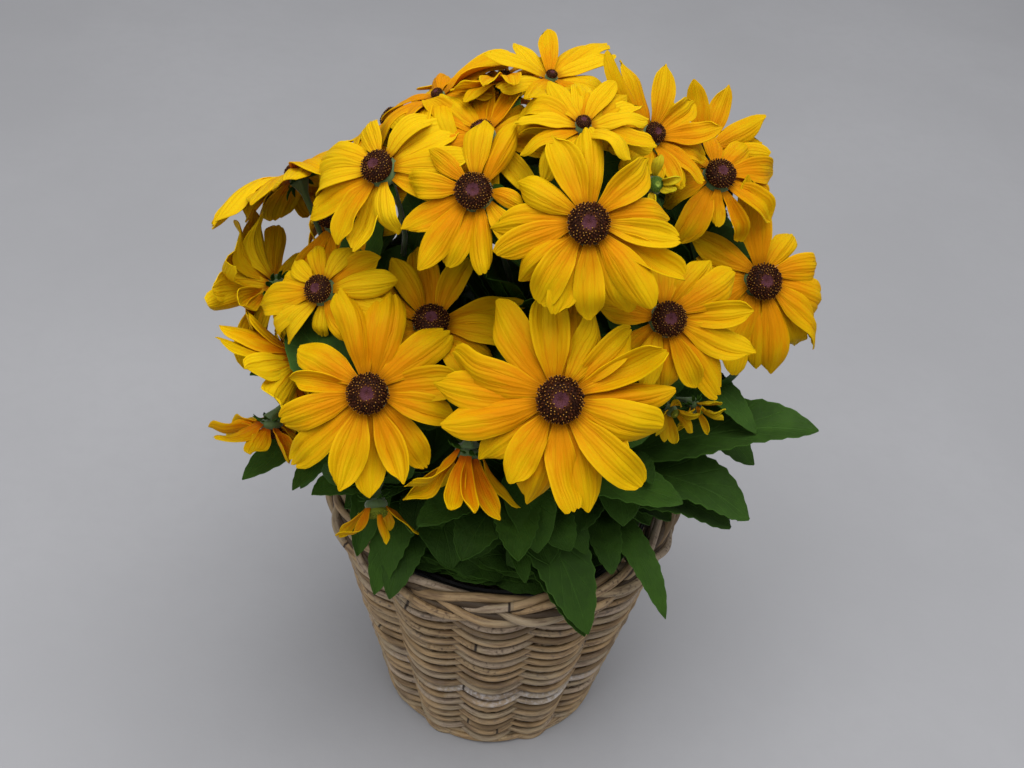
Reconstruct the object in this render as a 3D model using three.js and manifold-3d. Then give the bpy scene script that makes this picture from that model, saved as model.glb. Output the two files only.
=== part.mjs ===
// A potted rudbeckia: a bushy plant in a black nursery pot, standing in a lobed rattan basket.
// Millimetres, +Z up, front towards -Y. The origin is the centre of the basket's base.
import * as THREE from 'three';
import { mergeVertices } from 'three/addons/utils/BufferGeometryUtils.js';
import Module from 'manifold-3d';

const wasm = await Module();
wasm.setup();

const GAP = 0.3;
const DEGREE = Math.PI / 180;

// Basket: a tapered wall woven round stakes, which make a ring of upright lobes, and a rolled border on top
const BASKET_HEIGHT = 195;
const BORDER_RADIUS = 104;
const BORDER_TALL = 20;
const BORDER_WIDE = 15;
const BORDER_STRAND = 1.6;
const WALL_TOP = BASKET_HEIGHT - BORDER_TALL;
const WALL_TOP_RADIUS = 102;
const WALL_BASE_RADIUS = 70;
const WALL_THICK = 7;
const FLOOR_THICK = 8;
const LOBES = 14;
const LOBE_DEPTH = 6.5;
const COLUMNS_PER_LOBE = 3;
const WEAVE_ROWS = 14;
const WEAVE_RELIEF = 1.5;

// Nursery pot inside the basket, filled with soil
const POT_WALL = 2;
const POT_FLOOR = 2.5;
const POT_BASE_RADIUS = 58;
const POT_TOP_RADIUS = 90;
const POT_TOP = 182;
const POT_LIP = 3;
const POT_SIDES = 18;
const SOIL_TOP = 170;
const SOIL_BUMP = 3;
const HOLE_DEPTH = 24;
const STEM_START = SOIL_TOP + 2 * SOIL_BUMP;

// Plant: sizes that all its stems, leaves and blooms share
const STEM_RADIUS = 3.4;
const STEM_SIDES = 6;
const STALK_RADIUS = 1.7;
const HUB_THICK = 3.4;
const HUB_SHARE = 0.88;
const CALYX_SHARE = 1.25;
const CALYX_DEEP = 5;
const BRACTS = 5;
const BLADE_THICK = 0.9;
const LAYER_STEP = 1.6;
const RAY_HALF_SHARE = 0.165;
const RAY_ROOT_HALF = 1.2;
const CLEARANCE = 0.35;
const RAY_CLEARANCE = 0.05;

// Main stems: the place in the soil, and the fork that the flower stalks leave from
const STEMS = {
  front: [[4, -46], [6, -62, 268]],
  left_front: [[-44, -32], [-50, -52, 240]],
  right_front: [[46, -30], [58, -40, 252]],
  middle: [[0, -2], [2, -22, 330]],
  left: [[-54, 16], [-76, 4, 262]],
  right: [[54, 18], [72, 18, 290]],
  back_left: [[-26, 52], [-40, 58, 285]],
  back_right: [[28, 54], [44, 62, 285]],
};

// Blooms: place, then the turn from the front and tilt above the horizon that the bloom faces, the cone's
// width, the rays' first and last slope from the bloom's plane, the stem, whether the cone is a piece of its
// own, and the rays, either as a count and length or as a list of clock angle and length, with slopes of
// their own for rays that stand differently
const BLOOMS = [
  { at: [23, -114, 360], face: [0, 44], cone: 23, slope: [9, -9], stem: 'front', own: true,
    rays: [[350, 52], [2, 55], [30, 47], [46, 48], [62, 53], [86, 54], [108, 49], [122, 42], [136, 55],
      [155, 53], [176, 51], [192, 52], [211, 44], [229, 47], [250, 56], [266, 60], [280, 56],
      [319, 56]] },
  { at: [-70, -98, 340], face: [2, 44], cone: 21, slope: [10, -12], stem: 'left_front', own: true,
    rays: [[350, 53], [12, 52], [50, 51], [80, 46], [105, 45], [138, 47], [154, 46], [174, 50], [190, 48],
      [221, 54], [248, 45], [278, 40], [300, 42]] },
  { at: [29, -76, 434], face: [0, 44], cone: 20, slope: [12, -20], stem: 'middle', own: true,
    rays: [[337, 45], [353, 46], [45, 43], [77, 42], [103, 43], [118, 50], [138, 46], [157, 45],
      [176, 44], [194, 42], [212, 42], [232, 42], [250, 43], [268, 45], [291, 40]] },
  { at: [-24, -60, 436], face: [-6, 46], cone: 18, slope: [16, -22], stem: 'middle', own: true,
    rays: [[350, 39], [20, 41], [100, 24], [140, 38], [170, 37], [190, 36], [209, 42], [229, 38],
      [262, 34], [301, 30]] },
  { at: [-70, -40, 432], face: [-42, 50], cone: 17, slope: [12, -26], stem: 'left', own: true,
    rays: [[4, 36], [24, 44], [54, 47], [78, 38], [143, 34], [161, 40], [182, 40], [206, 43], [236, 46],
      [257, 47], [300, 36]] },
  { at: [128, -12, 362], face: [12, 42], cone: 20, slope: [10, -40], stem: 'right', own: true,
    rays: [[356, 57, 20, 30], [40, 38], [78, 42], [112, 48], [134, 50], [152, 51], [167, 52], [186, 47],
      [199, 49], [220, 42], [246, 48], [285, 36], [305, 46]] },
  { at: [73, -70, 378], face: [10, 44], cone: 18, slope: [8, -20], stem: 'right_front', own: true,
    rays: [[8, 38], [38, 40], [66, 44], [92, 42], [119, 47], [139, 46], [157, 38], [174, 38], [200, 36],
      [226, 34], [278, 34], [310, 36]] },
  { at: [-43, -61, 356], face: [4, 72], cone: 19, slope: [12, -14], stem: 'front', own: true,
    rays: [[330, 40, 34, 4], [348, 46, 38, 4], [20, 42, 34, 4], [73, 50, 16, -12], [92, 46], [116, 44], [136, 40],
      [200, 34], [240, 36], [280, 36], [304, 38, 22, -6]] },
  { at: [-98, -60, 372], face: [-30, 46], cone: 15, slope: [6, -34], stem: 'left_front', own: true,
    rays: [[0, 30], [29, 34], [58, 38], [86, 36], [128, 30], [165, 24], [200, 34], [219, 42], [239, 44],
      [254, 38], [277, 30], [318, 30]] },
  { at: [98, 8, 412], face: [24, 62], cone: 17, slope: [2, -42], stem: 'right', own: true,
    rays: [[20, 34], [60, 40], [92, 44], [112, 46], [132, 44], [168, 38], [198, 26], [221, 42], [264, 34],
      [296, 34], [336, 34]] },
  { at: [24, -34, 461], face: [0, 78], cone: 12, slope: [16, -12], stem: 'middle', own: true,
    rays: [12, 32] },
  { at: [60, -4, 441], face: [42, 50], cone: 15, slope: [26, 6], stem: 'right', own: true,
    rays: [[338, 46], [0, 40], [40, 36], [74, 34], [110, 36], [150, 34], [190, 30], [230, 28], [275, 30],
      [308, 34]] },
  { at: [8, 10, 461], face: [40, 80], cone: 11, slope: [22, 2], stem: 'back_right', own: true,
    rays: [[30, 30], [72, 42], [102, 34], [132, 30], [165, 30], [200, 32], [240, 32], [275, 32],
      [312, 34], [350, 28]] },
  { at: [-22, -26, 447], face: [-10, 66], cone: 16, slope: [8, -18], stem: 'middle', rays: [10, 36] },
  { at: [-100, 0, 372], face: [-40, 58], cone: 16, slope: [4, -26], stem: 'left', rays: [10, 38] },
  { at: [-122, 8, 396], face: [-135, 45], cone: 14, slope: [6, -26], stem: 'left', rays: [11, 48] },
  { at: [-19, -104, 308], face: [4, -60], cone: 14, slope: [66, 30], stem: 'front', rays: [6, 38] },
  { at: [-68, -97, 256], face: [8, -56], cone: 12, slope: [56, 34], stem: 'left_front', rays: [6, 28] },
  { at: [86, -60, 308], face: [20, 14], cone: 9, slope: [52, 40], stem: 'right_front', rays: [6, 16] },
  { at: [102, -48, 300], face: [34, -6], cone: 9, slope: [46, 30], stem: 'right_front', rays: [6, 15] },
  { at: [-134, -17, 337], face: [-104, -20], cone: 15, slope: [16, -16], stem: 'left',
    rays: [[345, 42], [12, 44, 18, -12], [38, 42, 34, -14], [64, 40, 56, 0], [90, 44, 44, -16],
      [116, 46, 50, -20], [142, 44, 36, -24], [172, 38], [215, 36], [260, 36], [305, 36]] },
  { at: [-114, -57, 320], face: [-70, -30], cone: 15, slope: [46, 14], stem: 'left_front', rays: [9, 42] },
  { at: [-133, -54, 268], face: [-24, -54], cone: 13, slope: [44, 16], stem: 'left', rays: [8, 32] },
  { at: [94, 40, 408], face: [34, 56], cone: 13, slope: [34, 10], stem: 'back_right', rays: [9, 36] },
  { at: [-47, 4, 450], face: [-110, 62], cone: 12, slope: [14, -30], stem: 'back_left', rays: [10, 38] },
  { at: [-16, 10, 459], face: [-130, 62], cone: 10, slope: [18, -24], stem: 'back_left', rays: [9, 30] },
  { at: [-74, 46, 410], face: [-128, 48], cone: 18, slope: [8, -24], stem: 'back_left', rays: [10, 42] },
  { at: [-22, 76, 414], face: [-170, 46], cone: 20, slope: [8, -18], stem: 'back_left', rays: [11, 44] },
  { at: [48, 74, 402], face: [152, 44], cone: 20, slope: [8, -22], stem: 'back_right', rays: [11, 44] },
  { at: [-102, 66, 340], face: [-128, 28], cone: 18, slope: [10, -24], stem: 'back_left', rays: [10, 42] },
  { at: [-30, 110, 338], face: [-172, 26], cone: 19, slope: [8, -20], stem: 'back_left', rays: [11, 44] },
  { at: [52, 104, 322], face: [158, 24], cone: 18, slope: [8, -24], stem: 'back_right', rays: [11, 42] },
  { at: [108, 62, 352], face: [118, 34], cone: 18, slope: [8, -28], stem: 'back_right', rays: [10, 42] },
  { at: [60, -40, 436], face: [0, 50], cone: 8, slope: [62, 24], stem: 'right_front', rays: [6, 15] },
];

// Leaves: the stem, how far up it the leaf leaves, the leaf's tip, its width, and its arch over the chord
const LEAVES = [
  { stem: 'front', up: 0.4, tip: [53, -119, 188], wide: 36, arch: 46 },
  { stem: 'front', up: 0.25, tip: [60, -123, 194], wide: 26, arch: 34 },
  { stem: 'front', up: 0.55, tip: [-20, -116, 240], wide: 30, arch: 22 },
  { stem: 'front', up: 0.25, tip: [17, -106, 226], wide: 14, arch: 20 },
  { stem: 'left_front', up: 0.42, tip: [-70, -106, 191], wide: 24, arch: 42 },
  { stem: 'left_front', up: 0.25, tip: [-60, -109, 193], wide: 26, arch: 34 },
  { stem: 'left_front', up: 0.6, tip: [-48, -104, 244], wide: 20, arch: 14 },
  { stem: 'left', up: 0.5, tip: [-80, -96, 214], wide: 26, arch: 26 },
  { stem: 'left', up: 0.8, tip: [-148, -66, 240], wide: 28, arch: 18 },
  { stem: 'left', up: 0.7, tip: [-118, -84, 248], wide: 24, arch: 14 },
  { stem: 'left_front', up: 0.75, tip: [-104, -90, 254], wide: 26, arch: 14 },
  { stem: 'left_front', up: 0.85, tip: [-84, -98, 276], wide: 24, arch: 12 },
  { stem: 'left', up: 0.9, tip: [-146, -28, 284], wide: 30, arch: 12 },
  { stem: 'right_front', up: 0.9, tip: [170, -46, 292], wide: 40, arch: 16 },
  { stem: 'right', up: 0.66, tip: [148, -28, 246], wide: 34, arch: 14 },
  { stem: 'right_front', up: 0.8, tip: [140, -72, 246], wide: 38, arch: 18 },
  { stem: 'right_front', up: 0.55, tip: [130, -70, 232], wide: 40, arch: 20 },
  { stem: 'front', up: 0.8, tip: [94, -98, 278], wide: 40, arch: 16 },
  { stem: 'right', up: 0.5, tip: [138, -54, 220], wide: 14, arch: 18 },
  { stem: 'right_front', up: 0.97, tip: [80, -92, 284], wide: 16, arch: 12 },
  { stem: 'right', up: 0.93, tip: [136, -52, 292], wide: 24, arch: 18 },
  { stem: 'right', up: 0.97, tip: [144, -30, 330], wide: 24, arch: 10 },
  { stem: 'right_front', up: 0.3, tip: [98, -107, 191], wide: 18, arch: 40 },
  { stem: 'front', up: 0.4, tip: [44, -108, 218], wide: 22, arch: 20 },
  { stem: 'right_front', up: 0.35, tip: [64, -96, 214], wide: 22, arch: 20 },
  { stem: 'middle', up: 0.9, tip: [-47, -60, 402], wide: 22, arch: 8 },
  { stem: 'middle', up: 0.8, tip: [70, -52, 398], wide: 24, arch: 8 },
  { stem: 'middle', up: 0.8, tip: [-62, -34, 398], wide: 24, arch: 10 },
  { stem: 'middle', up: 0.75, tip: [36, -86, 384], wide: 16, arch: 8 },
  { stem: 'right', up: 0.75, tip: [132, 64, 286], wide: 34, arch: 20 },
  { stem: 'right', up: 0.4, tip: [132, 44, 200], wide: 34, arch: 26 },
  { stem: 'back_right', up: 0.6, tip: [100, 112, 226], wide: 34, arch: 24 },
  { stem: 'back_right', up: 0.4, tip: [60, 124, 190], wide: 34, arch: 40 },
  { stem: 'back_right', up: 0.85, tip: [26, 128, 262], wide: 32, arch: 18 },
  { stem: 'back_left', up: 0.45, tip: [-24, 130, 190], wide: 34, arch: 40 },
  { stem: 'back_left', up: 0.6, tip: [-84, 112, 222], wide: 34, arch: 24 },
  { stem: 'back_left', up: 0.85, tip: [-66, 120, 276], wide: 30, arch: 16 },
  { stem: 'left', up: 0.6, tip: [-140, 54, 228], wide: 34, arch: 22 },
  { stem: 'left', up: 0.4, tip: [-128, 18, 190], wide: 32, arch: 28 },
  { stem: 'left', up: 0.35, tip: [-122, -40, 206], wide: 28, arch: 26 },
  { stem: 'front', up: 0.6, tip: [-44, -112, 262], wide: 24, arch: 12 },
  { stem: 'front', up: 0.7, tip: [10, -126, 256], wide: 26, arch: 14 },
  { stem: 'front', up: 0.35, tip: [-14, -98, 222], wide: 24, arch: 20 },
  { stem: 'middle', up: 0.3, tip: [-32, -66, 232], wide: 32, arch: 22 },
  { stem: 'middle', up: 0.25, tip: [28, -70, 226], wide: 32, arch: 22 },
  { stem: 'front', up: 0.5, tip: [36, -110, 250], wide: 28, arch: 16 },
  { stem: 'left_front', up: 0.35, tip: [-32, -78, 218], wide: 26, arch: 20 },
  { stem: 'left', up: 0.3, tip: [-88, -58, 220], wide: 28, arch: 20 },
  { stem: 'right', up: 0.3, tip: [98, -36, 222], wide: 30, arch: 22 },
  { stem: 'right_front', up: 0.45, tip: [98, -62, 226], wide: 30, arch: 18 },
  { stem: 'right_front', up: 0.5, tip: [46, -92, 242], wide: 24, arch: 14 },
  { stem: 'middle', up: 0.95, tip: [54, -48, 416], wide: 24, arch: 8 },
  { stem: 'middle', up: 0.85, tip: [-34, -10, 402], wide: 26, arch: 8 },
  { stem: 'right', up: 0.9, tip: [58, -10, 420], wide: 28, arch: 8 },
  { stem: 'left', up: 0.9, tip: [-86, -30, 362], wide: 28, arch: 10 },
  { stem: 'middle', up: 0.9, tip: [-6, -46, 380], wide: 26, arch: 6 },
  { stem: 'middle', up: 0.8, tip: [20, -50, 384], wide: 30, arch: 6 },
  { stem: 'middle', up: 0.6, tip: [-20, -80, 330], wide: 30, arch: 10 },
  { stem: 'right', up: 0.8, tip: [100, -24, 350], wide: 28, arch: 10 },
  { stem: 'back_left', up: 0.95, tip: [-46, -6, 400], wide: 30, arch: 8 },
];

// A repeatable stream of numbers from 0 to 1
function seeded(seed) {
  let state = seed;
  return () => {
    state = (state + 0x6d2b79f5) | 0;
    let t = Math.imul(state ^ (state >>> 15), 1 | state);
    t = (t + Math.imul(t ^ (t >>> 7), 61 | t)) ^ t;
    return ((t ^ (t >>> 14)) >>> 0) / 4294967296;
  };
}

// A solid for joining and cutting, from a closed geometry
function solidOf(geometry) {
  const plain = geometry.clone();
  plain.deleteAttribute('normal');
  plain.deleteAttribute('uv');
  const merged = mergeVertices(plain, 1e-4);
  return new wasm.Manifold(new wasm.Mesh({
    numProp: 3,
    vertProperties: new Float32Array(merged.attributes.position.array),
    triVerts: new Uint32Array(merged.index.array),
  }));
}

// The geometry of a joined or cut solid
function geometryOf(solid) {
  const mesh = solid.getMesh();
  const geometry = new THREE.BufferGeometry();
  geometry.setAttribute('position', new THREE.BufferAttribute(mesh.vertProperties, 3));
  geometry.setIndex(new THREE.BufferAttribute(mesh.triVerts, 1));
  return geometry;
}

function indexed(points, faces) {
  const geometry = new THREE.BufferGeometry();
  geometry.setFromPoints(points);
  geometry.setIndex(faces);
  return geometry;
}

// A closed skin over rings of points, each anticlockwise seen from the next, with pointed or flat ends
function loft(rings) {
  const points = rings.flat();
  const starts = [];
  let count = 0;
  for (const ring of rings) {
    starts.push(count);
    count += ring.length;
  }
  const faces = [];
  for (let i = 0; i + 1 < rings.length; i += 1) {
    const here = rings[i].length;
    const next = rings[i + 1].length;
    const sides = Math.max(here, next);
    const corner = (ring, length, j) => starts[ring] + (Math.floor(j * length / sides) % length);
    for (let j = 0; j < sides; j += 1) {
      const a = corner(i, here, j);
      const b = corner(i, here, j + 1);
      const c = corner(i + 1, next, j + 1);
      const d = corner(i + 1, next, j);
      if (a !== b) faces.push(a, b, c);
      if (c !== d) faces.push(a, c, d);
    }
  }
  const first = rings[0].length;
  for (let j = 1; j + 1 < first; j += 1) faces.push(0, j + 1, j);
  const last = starts[rings.length - 1];
  for (let j = 1; j + 1 < rings[rings.length - 1].length; j += 1) faces.push(last, last + j, last + j + 1);
  return indexed(points, faces);
}

// Rings round a line of points, square to it, with their first corner turned towards one side
function ringsAlong(line, towards, radius, sides) {
  return line.map(({ middle, along }) => {
    const across = new THREE.Vector3().crossVectors(along, towards).normalize();
    const side = new THREE.Vector3().crossVectors(across, along);
    const ring = [];
    for (let j = 0; j < sides; j += 1) {
      const angle = (j / sides) * 2 * Math.PI;
      ring.push(middle.clone()
        .addScaledVector(side, radius * Math.cos(angle))
        .addScaledVector(across, radius * Math.sin(angle)));
    }
    return ring;
  });
}

// Evenly spaced points of a curve, with the way along it
function lineOf(curve, steps) {
  const line = [];
  for (let i = 0; i <= steps; i += 1) {
    line.push({ middle: curve.getPoint(i / steps), along: curve.getTangent(i / steps) });
  }
  return line;
}

// The rings of a blade with a flat face and a keel: each station has a middle, the way along and up, a half
// width and a depth
function bladeRings(stations, tip, spare) {
  const rings = stations.map(({ middle, along, up, half, deep }) => {
    const side = new THREE.Vector3().crossVectors(up, along).normalize();
    const top = middle.clone().addScaledVector(up, spare);
    return [
      top.clone().addScaledVector(side, half + spare),
      top.clone().addScaledVector(side, -half - spare),
      middle.clone().addScaledVector(up, -deep - spare),
    ];
  });
  const last = stations[stations.length - 1];
  return [...rings, [tip.clone().addScaledVector(last.along, spare)]];
}

// Every solid set down so far, with its box, so that a new one can be bent clear of them all
const placed = [];

function setDown(solid, owner) {
  placed.push({ solid, owner, box: solid.boundingBox() });
}

function isClear(solid, owner) {
  const box = solid.boundingBox();
  return placed.every((other) => {
    if (other.owner === owner) return true;
    for (let k = 0; k < 3; k += 1) {
      if (other.box.max[k] < box.min[k] || other.box.min[k] > box.max[k]) return true;
    }
    return other.solid.intersect(solid).isEmpty();
  });
}

// The frame that a bloom is built in: the way it faces, and the way up and right in its plane
function bloomFrame({ at, face }) {
  const turn = face[0] * DEGREE;
  const tilt = face[1] * DEGREE;
  const front = new THREE.Vector3(Math.sin(turn), -Math.cos(turn), 0);
  const sky = new THREE.Vector3(0, 0, 1);
  const out = front.clone().multiplyScalar(Math.cos(tilt)).addScaledVector(sky, Math.sin(tilt));
  const up = sky.clone().multiplyScalar(Math.cos(tilt)).addScaledVector(front, -Math.sin(tilt));
  const right = new THREE.Vector3().crossVectors(up, out);
  return { middle: new THREE.Vector3(...at), out, up, right };
}

function aroundBloom(frame, angle, radius, height) {
  return frame.middle.clone()
    .addScaledVector(frame.up, radius * Math.cos(angle))
    .addScaledVector(frame.right, -radius * Math.sin(angle))
    .addScaledVector(frame.out, height);
}

// A ring of points round a bloom's axis, pulled in at every second point
function bloomRing(frame, sides, radius, height, pull = 1) {
  const ring = [];
  for (let i = 0; i < sides; i += 1) {
    ring.push(aroundBloom(frame, (i / sides) * 2 * Math.PI, i % 2 ? radius * pull : radius, height));
  }
  return ring;
}

// The dome of disc florets, with a small hollow in its middle
function cone(bloom, frame) {
  const radius = bloom.cone / 2;
  return loft([
    bloomRing(frame, 10, radius * 0.8, GAP),
    bloomRing(frame, 10, radius, radius * 0.36, 0.92),
    bloomRing(frame, 10, radius * 0.86, radius * 0.7, 0.92),
    bloomRing(frame, 10, radius * 0.45, radius, 0.9),
    [aroundBloom(frame, 0, 0, radius * 0.85)],
  ]);
}

// The space that the roots of a bloom's rays take up
function hubSpace(bloom, frame) {
  const radius = bloom.cone / 2 * HUB_SHARE + RAY_ROOT_HALF;
  return loft([bloomRing(frame, 10, radius * 0.9, -HUB_THICK), bloomRing(frame, 10, radius, GAP)]);
}

// The stalk's line from the stem to the bloom's bracts
function stalkCurve(bloom, frame, base, bend) {
  const top = aroundBloom(frame, 0, 0, -HUB_THICK - GAP - CALYX_DEEP);
  const reach = top.distanceTo(base);
  const bent = new THREE.Vector3(bend[0], bend[1], 0);
  const leave = base.clone().add(bent).add(new THREE.Vector3(0, 0, reach * 0.35));
  const arrive = top.clone().add(bent).addScaledVector(frame.out, -reach * 0.3);
  return new THREE.CubicBezierCurve3(base, leave, arrive, top);
}

// A stalk that opens at its top into a star of bracts, or a thicker one to try its line with
function stalk(bloom, frame, curve, spare) {
  const rings = ringsAlong(lineOf(curve, 3), frame.right, STALK_RADIUS + spare, BRACTS);
  const radius = bloom.cone / 2 * CALYX_SHARE;
  const star = [];
  for (let j = 0; j < 2 * BRACTS; j += 1) {
    const tipped = j % 2 === 0;
    const angle = (j / BRACTS) * Math.PI - Math.PI / 2;
    const height = -HUB_THICK - GAP - (tipped ? 1.4 : 0.6);
    star.push(aroundBloom(frame, angle, tipped ? radius : radius * 0.6, height));
  }
  return solidOf(loft([...rings, star, [aroundBloom(frame, 0, 0, -HUB_THICK - GAP)]]));
}

// One ray: a narrow root on the hub, two stations and a point, curving from its first slope to its last
function ray(bloom, frame, { clock, root, long, low, slope, roll }) {
  const angle = -clock * DEGREE;
  const outward = aroundBloom(frame, angle, 1, 0).sub(frame.middle);
  const rootRadius = bloom.cone / 2 * HUB_SHARE;
  const reach = long - rootRadius;
  const half = long * RAY_HALF_SHARE;
  const place = aroundBloom(frame, -root * DEGREE, rootRadius, low ? -LAYER_STEP : 0);
  const shares = [0, 0.36, 0.74, 1];
  const halves = [RAY_ROOT_HALF, half * 0.84, half];
  const stations = [];
  for (let i = 0; i < shares.length; i += 1) {
    const share = shares[i];
    if (i) {
      const middle = (share + shares[i - 1]) / 2;
      const lean = (slope[0] + (slope[1] - slope[0]) * middle) * DEGREE;
      const step = reach * (share - shares[i - 1]);
      place.addScaledVector(outward, step * Math.cos(lean));
      place.addScaledVector(frame.out, step * Math.sin(lean));
    }
    const lean = (slope[0] + (slope[1] - slope[0]) * share) * DEGREE;
    const along = outward.clone().multiplyScalar(Math.cos(lean)).addScaledVector(frame.out, Math.sin(lean));
    const flat = outward.clone().multiplyScalar(-Math.sin(lean)).addScaledVector(frame.out, Math.cos(lean));
    const up = flat.applyAxisAngle(along, roll * DEGREE * share);
    stations.push({ middle: place.clone(), along, up, half: halves[i], deep: BLADE_THICK });
  }
  return { tip: stations.pop().middle, stations };
}

// The blade from a share of its first part on, grown a little, to try it against what is there already
function trial({ stations, tip }, from, spare) {
  const [root, next] = stations;
  const neck = {
    middle: root.middle.clone().lerp(next.middle, from),
    along: next.along,
    up: root.up.clone().lerp(next.up, from).normalize(),
    half: root.half + (next.half - root.half) * from,
    deep: root.deep,
  };
  return solidOf(loft(bladeRings([neck, ...stations.slice(1)], tip, spare)));
}

// The rays of a bloom as one body: their roots stand side by side round a hub, which a fused cone may top
function bloomBody(bloom, frame, rays) {
  const points = [];
  const faces = [];
  const add = (p) => points.push(p) - 1;
  const radius = bloom.cone / 2;
  const roots = rays.map(({ stations, tip }) => {
    const rows = bladeRings(stations, tip, 0).map((ring) => ring.map(add));
    for (let k = 0; k + 1 < rows.length; k += 1) {
      for (let j = 0; j < 3; j += 1) {
        const next = rows[k + 1];
        faces.push(rows[k][j], rows[k][(j + 1) % 3], next[(j + 1) % next.length]);
        if (next.length > 1) faces.push(rows[k][j], next[(j + 1) % 3], next[j]);
      }
    }
    return rows[0];
  });
  const under = add(aroundBloom(frame, 0, 0, -HUB_THICK));
  const apex = add(aroundBloom(frame, 0, 0, bloom.own ? -0.2 : radius * 0.75));
  const domes = bloom.own ? [] : [[0.84, 0.42], [0.52, 0.85]].map(([wide, high]) => rays.map(({ root }) => (
    add(aroundBloom(frame, -root * DEGREE, radius * wide, radius * high)))));
  roots.forEach(([left, right, keel], i) => {
    const n = (i + 1) % roots.length;
    const [nextLeft, , nextKeel] = roots[n];
    const rises = rays[i].low && !rays[n].low;
    if (rises) faces.push(keel, right, nextKeel, right, nextLeft, nextKeel);
    else faces.push(keel, right, nextLeft, keel, nextLeft, nextKeel);
    faces.push(under, keel, nextKeel);
    if (bloom.own) {
      faces.push(apex, nextLeft, right, apex, right, left);
    } else {
      const [low, high] = domes;
      faces.push(low[i], right, left, low[n], nextLeft, right, low[n], right, low[i]);
      faces.push(high[i], low[n], low[i], high[i], high[n], low[n], apex, high[n], high[i]);
    }
  });
  return indexed(points, faces);
}

// The changes tried in turn until a ray hangs clear of its neighbours: slope, clock and length
function* rayTries(random) {
  yield [0, 0, 0, 1];
  for (const long of [1, 0.94, 0.86, 0.76, 0.64]) {
    for (let i = 0; i < 22; i += 1) {
      const spread = 5 + i * 1.1;
      const [first, last, turn] = [1, 2, 0.6].map((share) => (random() - 0.5) * spread * share);
      yield [first, last, turn, long];
    }
  }
}

function placeRays(bloom, frame, name) {
  const random = seeded(bloom.at[0] * 31 + bloom.at[1] * 7 + bloom.at[2]);
  const listed = Array.isArray(bloom.rays[0]);
  const count = listed ? bloom.rays.length : bloom.rays[0];
  const step = 360 / count;
  const start = listed ? 0 : random() * step;
  const wanted = [];
  for (let i = 0; i < count; i += 1) {
    const clock = listed ? bloom.rays[i][0] : start + (i + (random() - 0.5) * 0.4) * step;
    const long = listed ? bloom.rays[i][1] : bloom.rays[1] * (0.9 + random() * 0.2);
    const slope = listed && bloom.rays[i].length > 2 ? bloom.rays[i].slice(2) : bloom.slope;
    wanted.push({ clock, long, slope, low: i % 2 === 1 });
  }
  wanted.sort((a, b) => a.clock - b.clock);
  const shift = wanted.reduce((sum, { clock }, i) => sum + clock - i * step, 0) / count;
  const rays = [];
  wanted.forEach(({ clock, long, slope: [rise, bend], low }, i) => {
    const root = shift + i * step + (clock - shift - i * step) * 0.25;
    const lift = (random() - 0.5) * 6 - (low ? 3 : 0);
    const fall = (random() - 0.5) * 16 - (low ? 4 : 0);
    const roll = (random() - 0.5) * 24;
    for (const [first, last, turn, share] of rayTries(random)) {
      const slope = [rise + lift + first, bend + fall + last];
      const shape = ray(bloom, frame, { clock: clock + turn, root, long: long * share, low, slope, roll });
      const clear = isClear(trial(shape, 0.3, CLEARANCE), `${name}_rays`)
        && isClear(trial(shape, 0.05, RAY_CLEARANCE), `${name}_hub`);
      if (!clear) continue;
      setDown(solidOf(loft(bladeRings(shape.stations, shape.tip, 0))), `${name}_rays`);
      rays.push({ ...shape, root, low });
      break;
    }
  });
  return rays;
}

// A leaf: a narrow root in its stem, then stations that swell and pinch in turn to make the teeth
function leaf({ wide }, base, arch, tip, roll, spare) {
  const over = base.clone().lerp(tip, 0.5).add(new THREE.Vector3(0, 0, arch));
  const curve = new THREE.QuadraticBezierCurve3(base, over, tip);
  const shares = [0, 0.13, 0.3, 0.42, 0.54, 0.68, 0.8];
  const halves = [0.07, 0.12, 0.92, 0.82, 1, 0.78, 0.62];
  const stations = shares.map((share, i) => {
    const along = curve.getTangent(share);
    const side = new THREE.Vector3(0, 0, 1).cross(along).normalize();
    const up = along.clone().cross(side).normalize().applyAxisAngle(along, roll * DEGREE * share);
    const deep = BLADE_THICK * (1.3 - share);
    return { middle: curve.getPoint(share), along, up, half: halves[i] * wide / 2, deep };
  });
  return solidOf(loft(bladeRings(spare ? stations.slice(1) : stations, tip, spare)));
}

// The changes tried in turn until a leaf lies clear of everything: tip, arch, roll and width
function* leafTries(random) {
  yield [0, 0, 0, 0, 0, 1];
  for (const share of [1, 0.9, 0.78, 0.66, 0.54]) {
    for (let i = 0; i < 40; i += 1) {
      const spread = 4 + i * 0.7;
      const shift = [1, 2, 3].map(() => (random() - 0.5) * spread);
      yield [...shift, (random() - 0.5) * spread, (random() - 0.5) * spread * 2, share];
    }
  }
}

function placeLeaf(spec, curve) {
  const random = seeded(spec.tip[0] * 53 + spec.tip[1] * 17 + spec.tip[2]);
  const base = curve.getPoint(spec.up);
  const roll = (random() - 0.5) * 20;
  for (const [dx, dy, dz, rise, twist, share] of leafTries(random)) {
    const tip = new THREE.Vector3(spec.tip[0] + dx, spec.tip[1] + dy, spec.tip[2] + dz);
    const shape = [{ wide: spec.wide * share }, base, spec.arch + rise, tip, roll + twist];
    if (!isClear(leaf(...shape, CLEARANCE))) continue;
    const solid = leaf(...shape, 0);
    if (!isClear(solid, spec.stem)) continue;
    setDown(solid, spec.stem);
    return solid;
  }
  throw new Error(`the leaf at ${spec.tip} isn't clear`);
}

// The radius of the wall's outside between the lobes, at a height
function wallRadius(z) {
  return WALL_BASE_RADIUS + (WALL_TOP_RADIUS - WALL_BASE_RADIUS) * (z / WALL_TOP);
}

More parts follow.
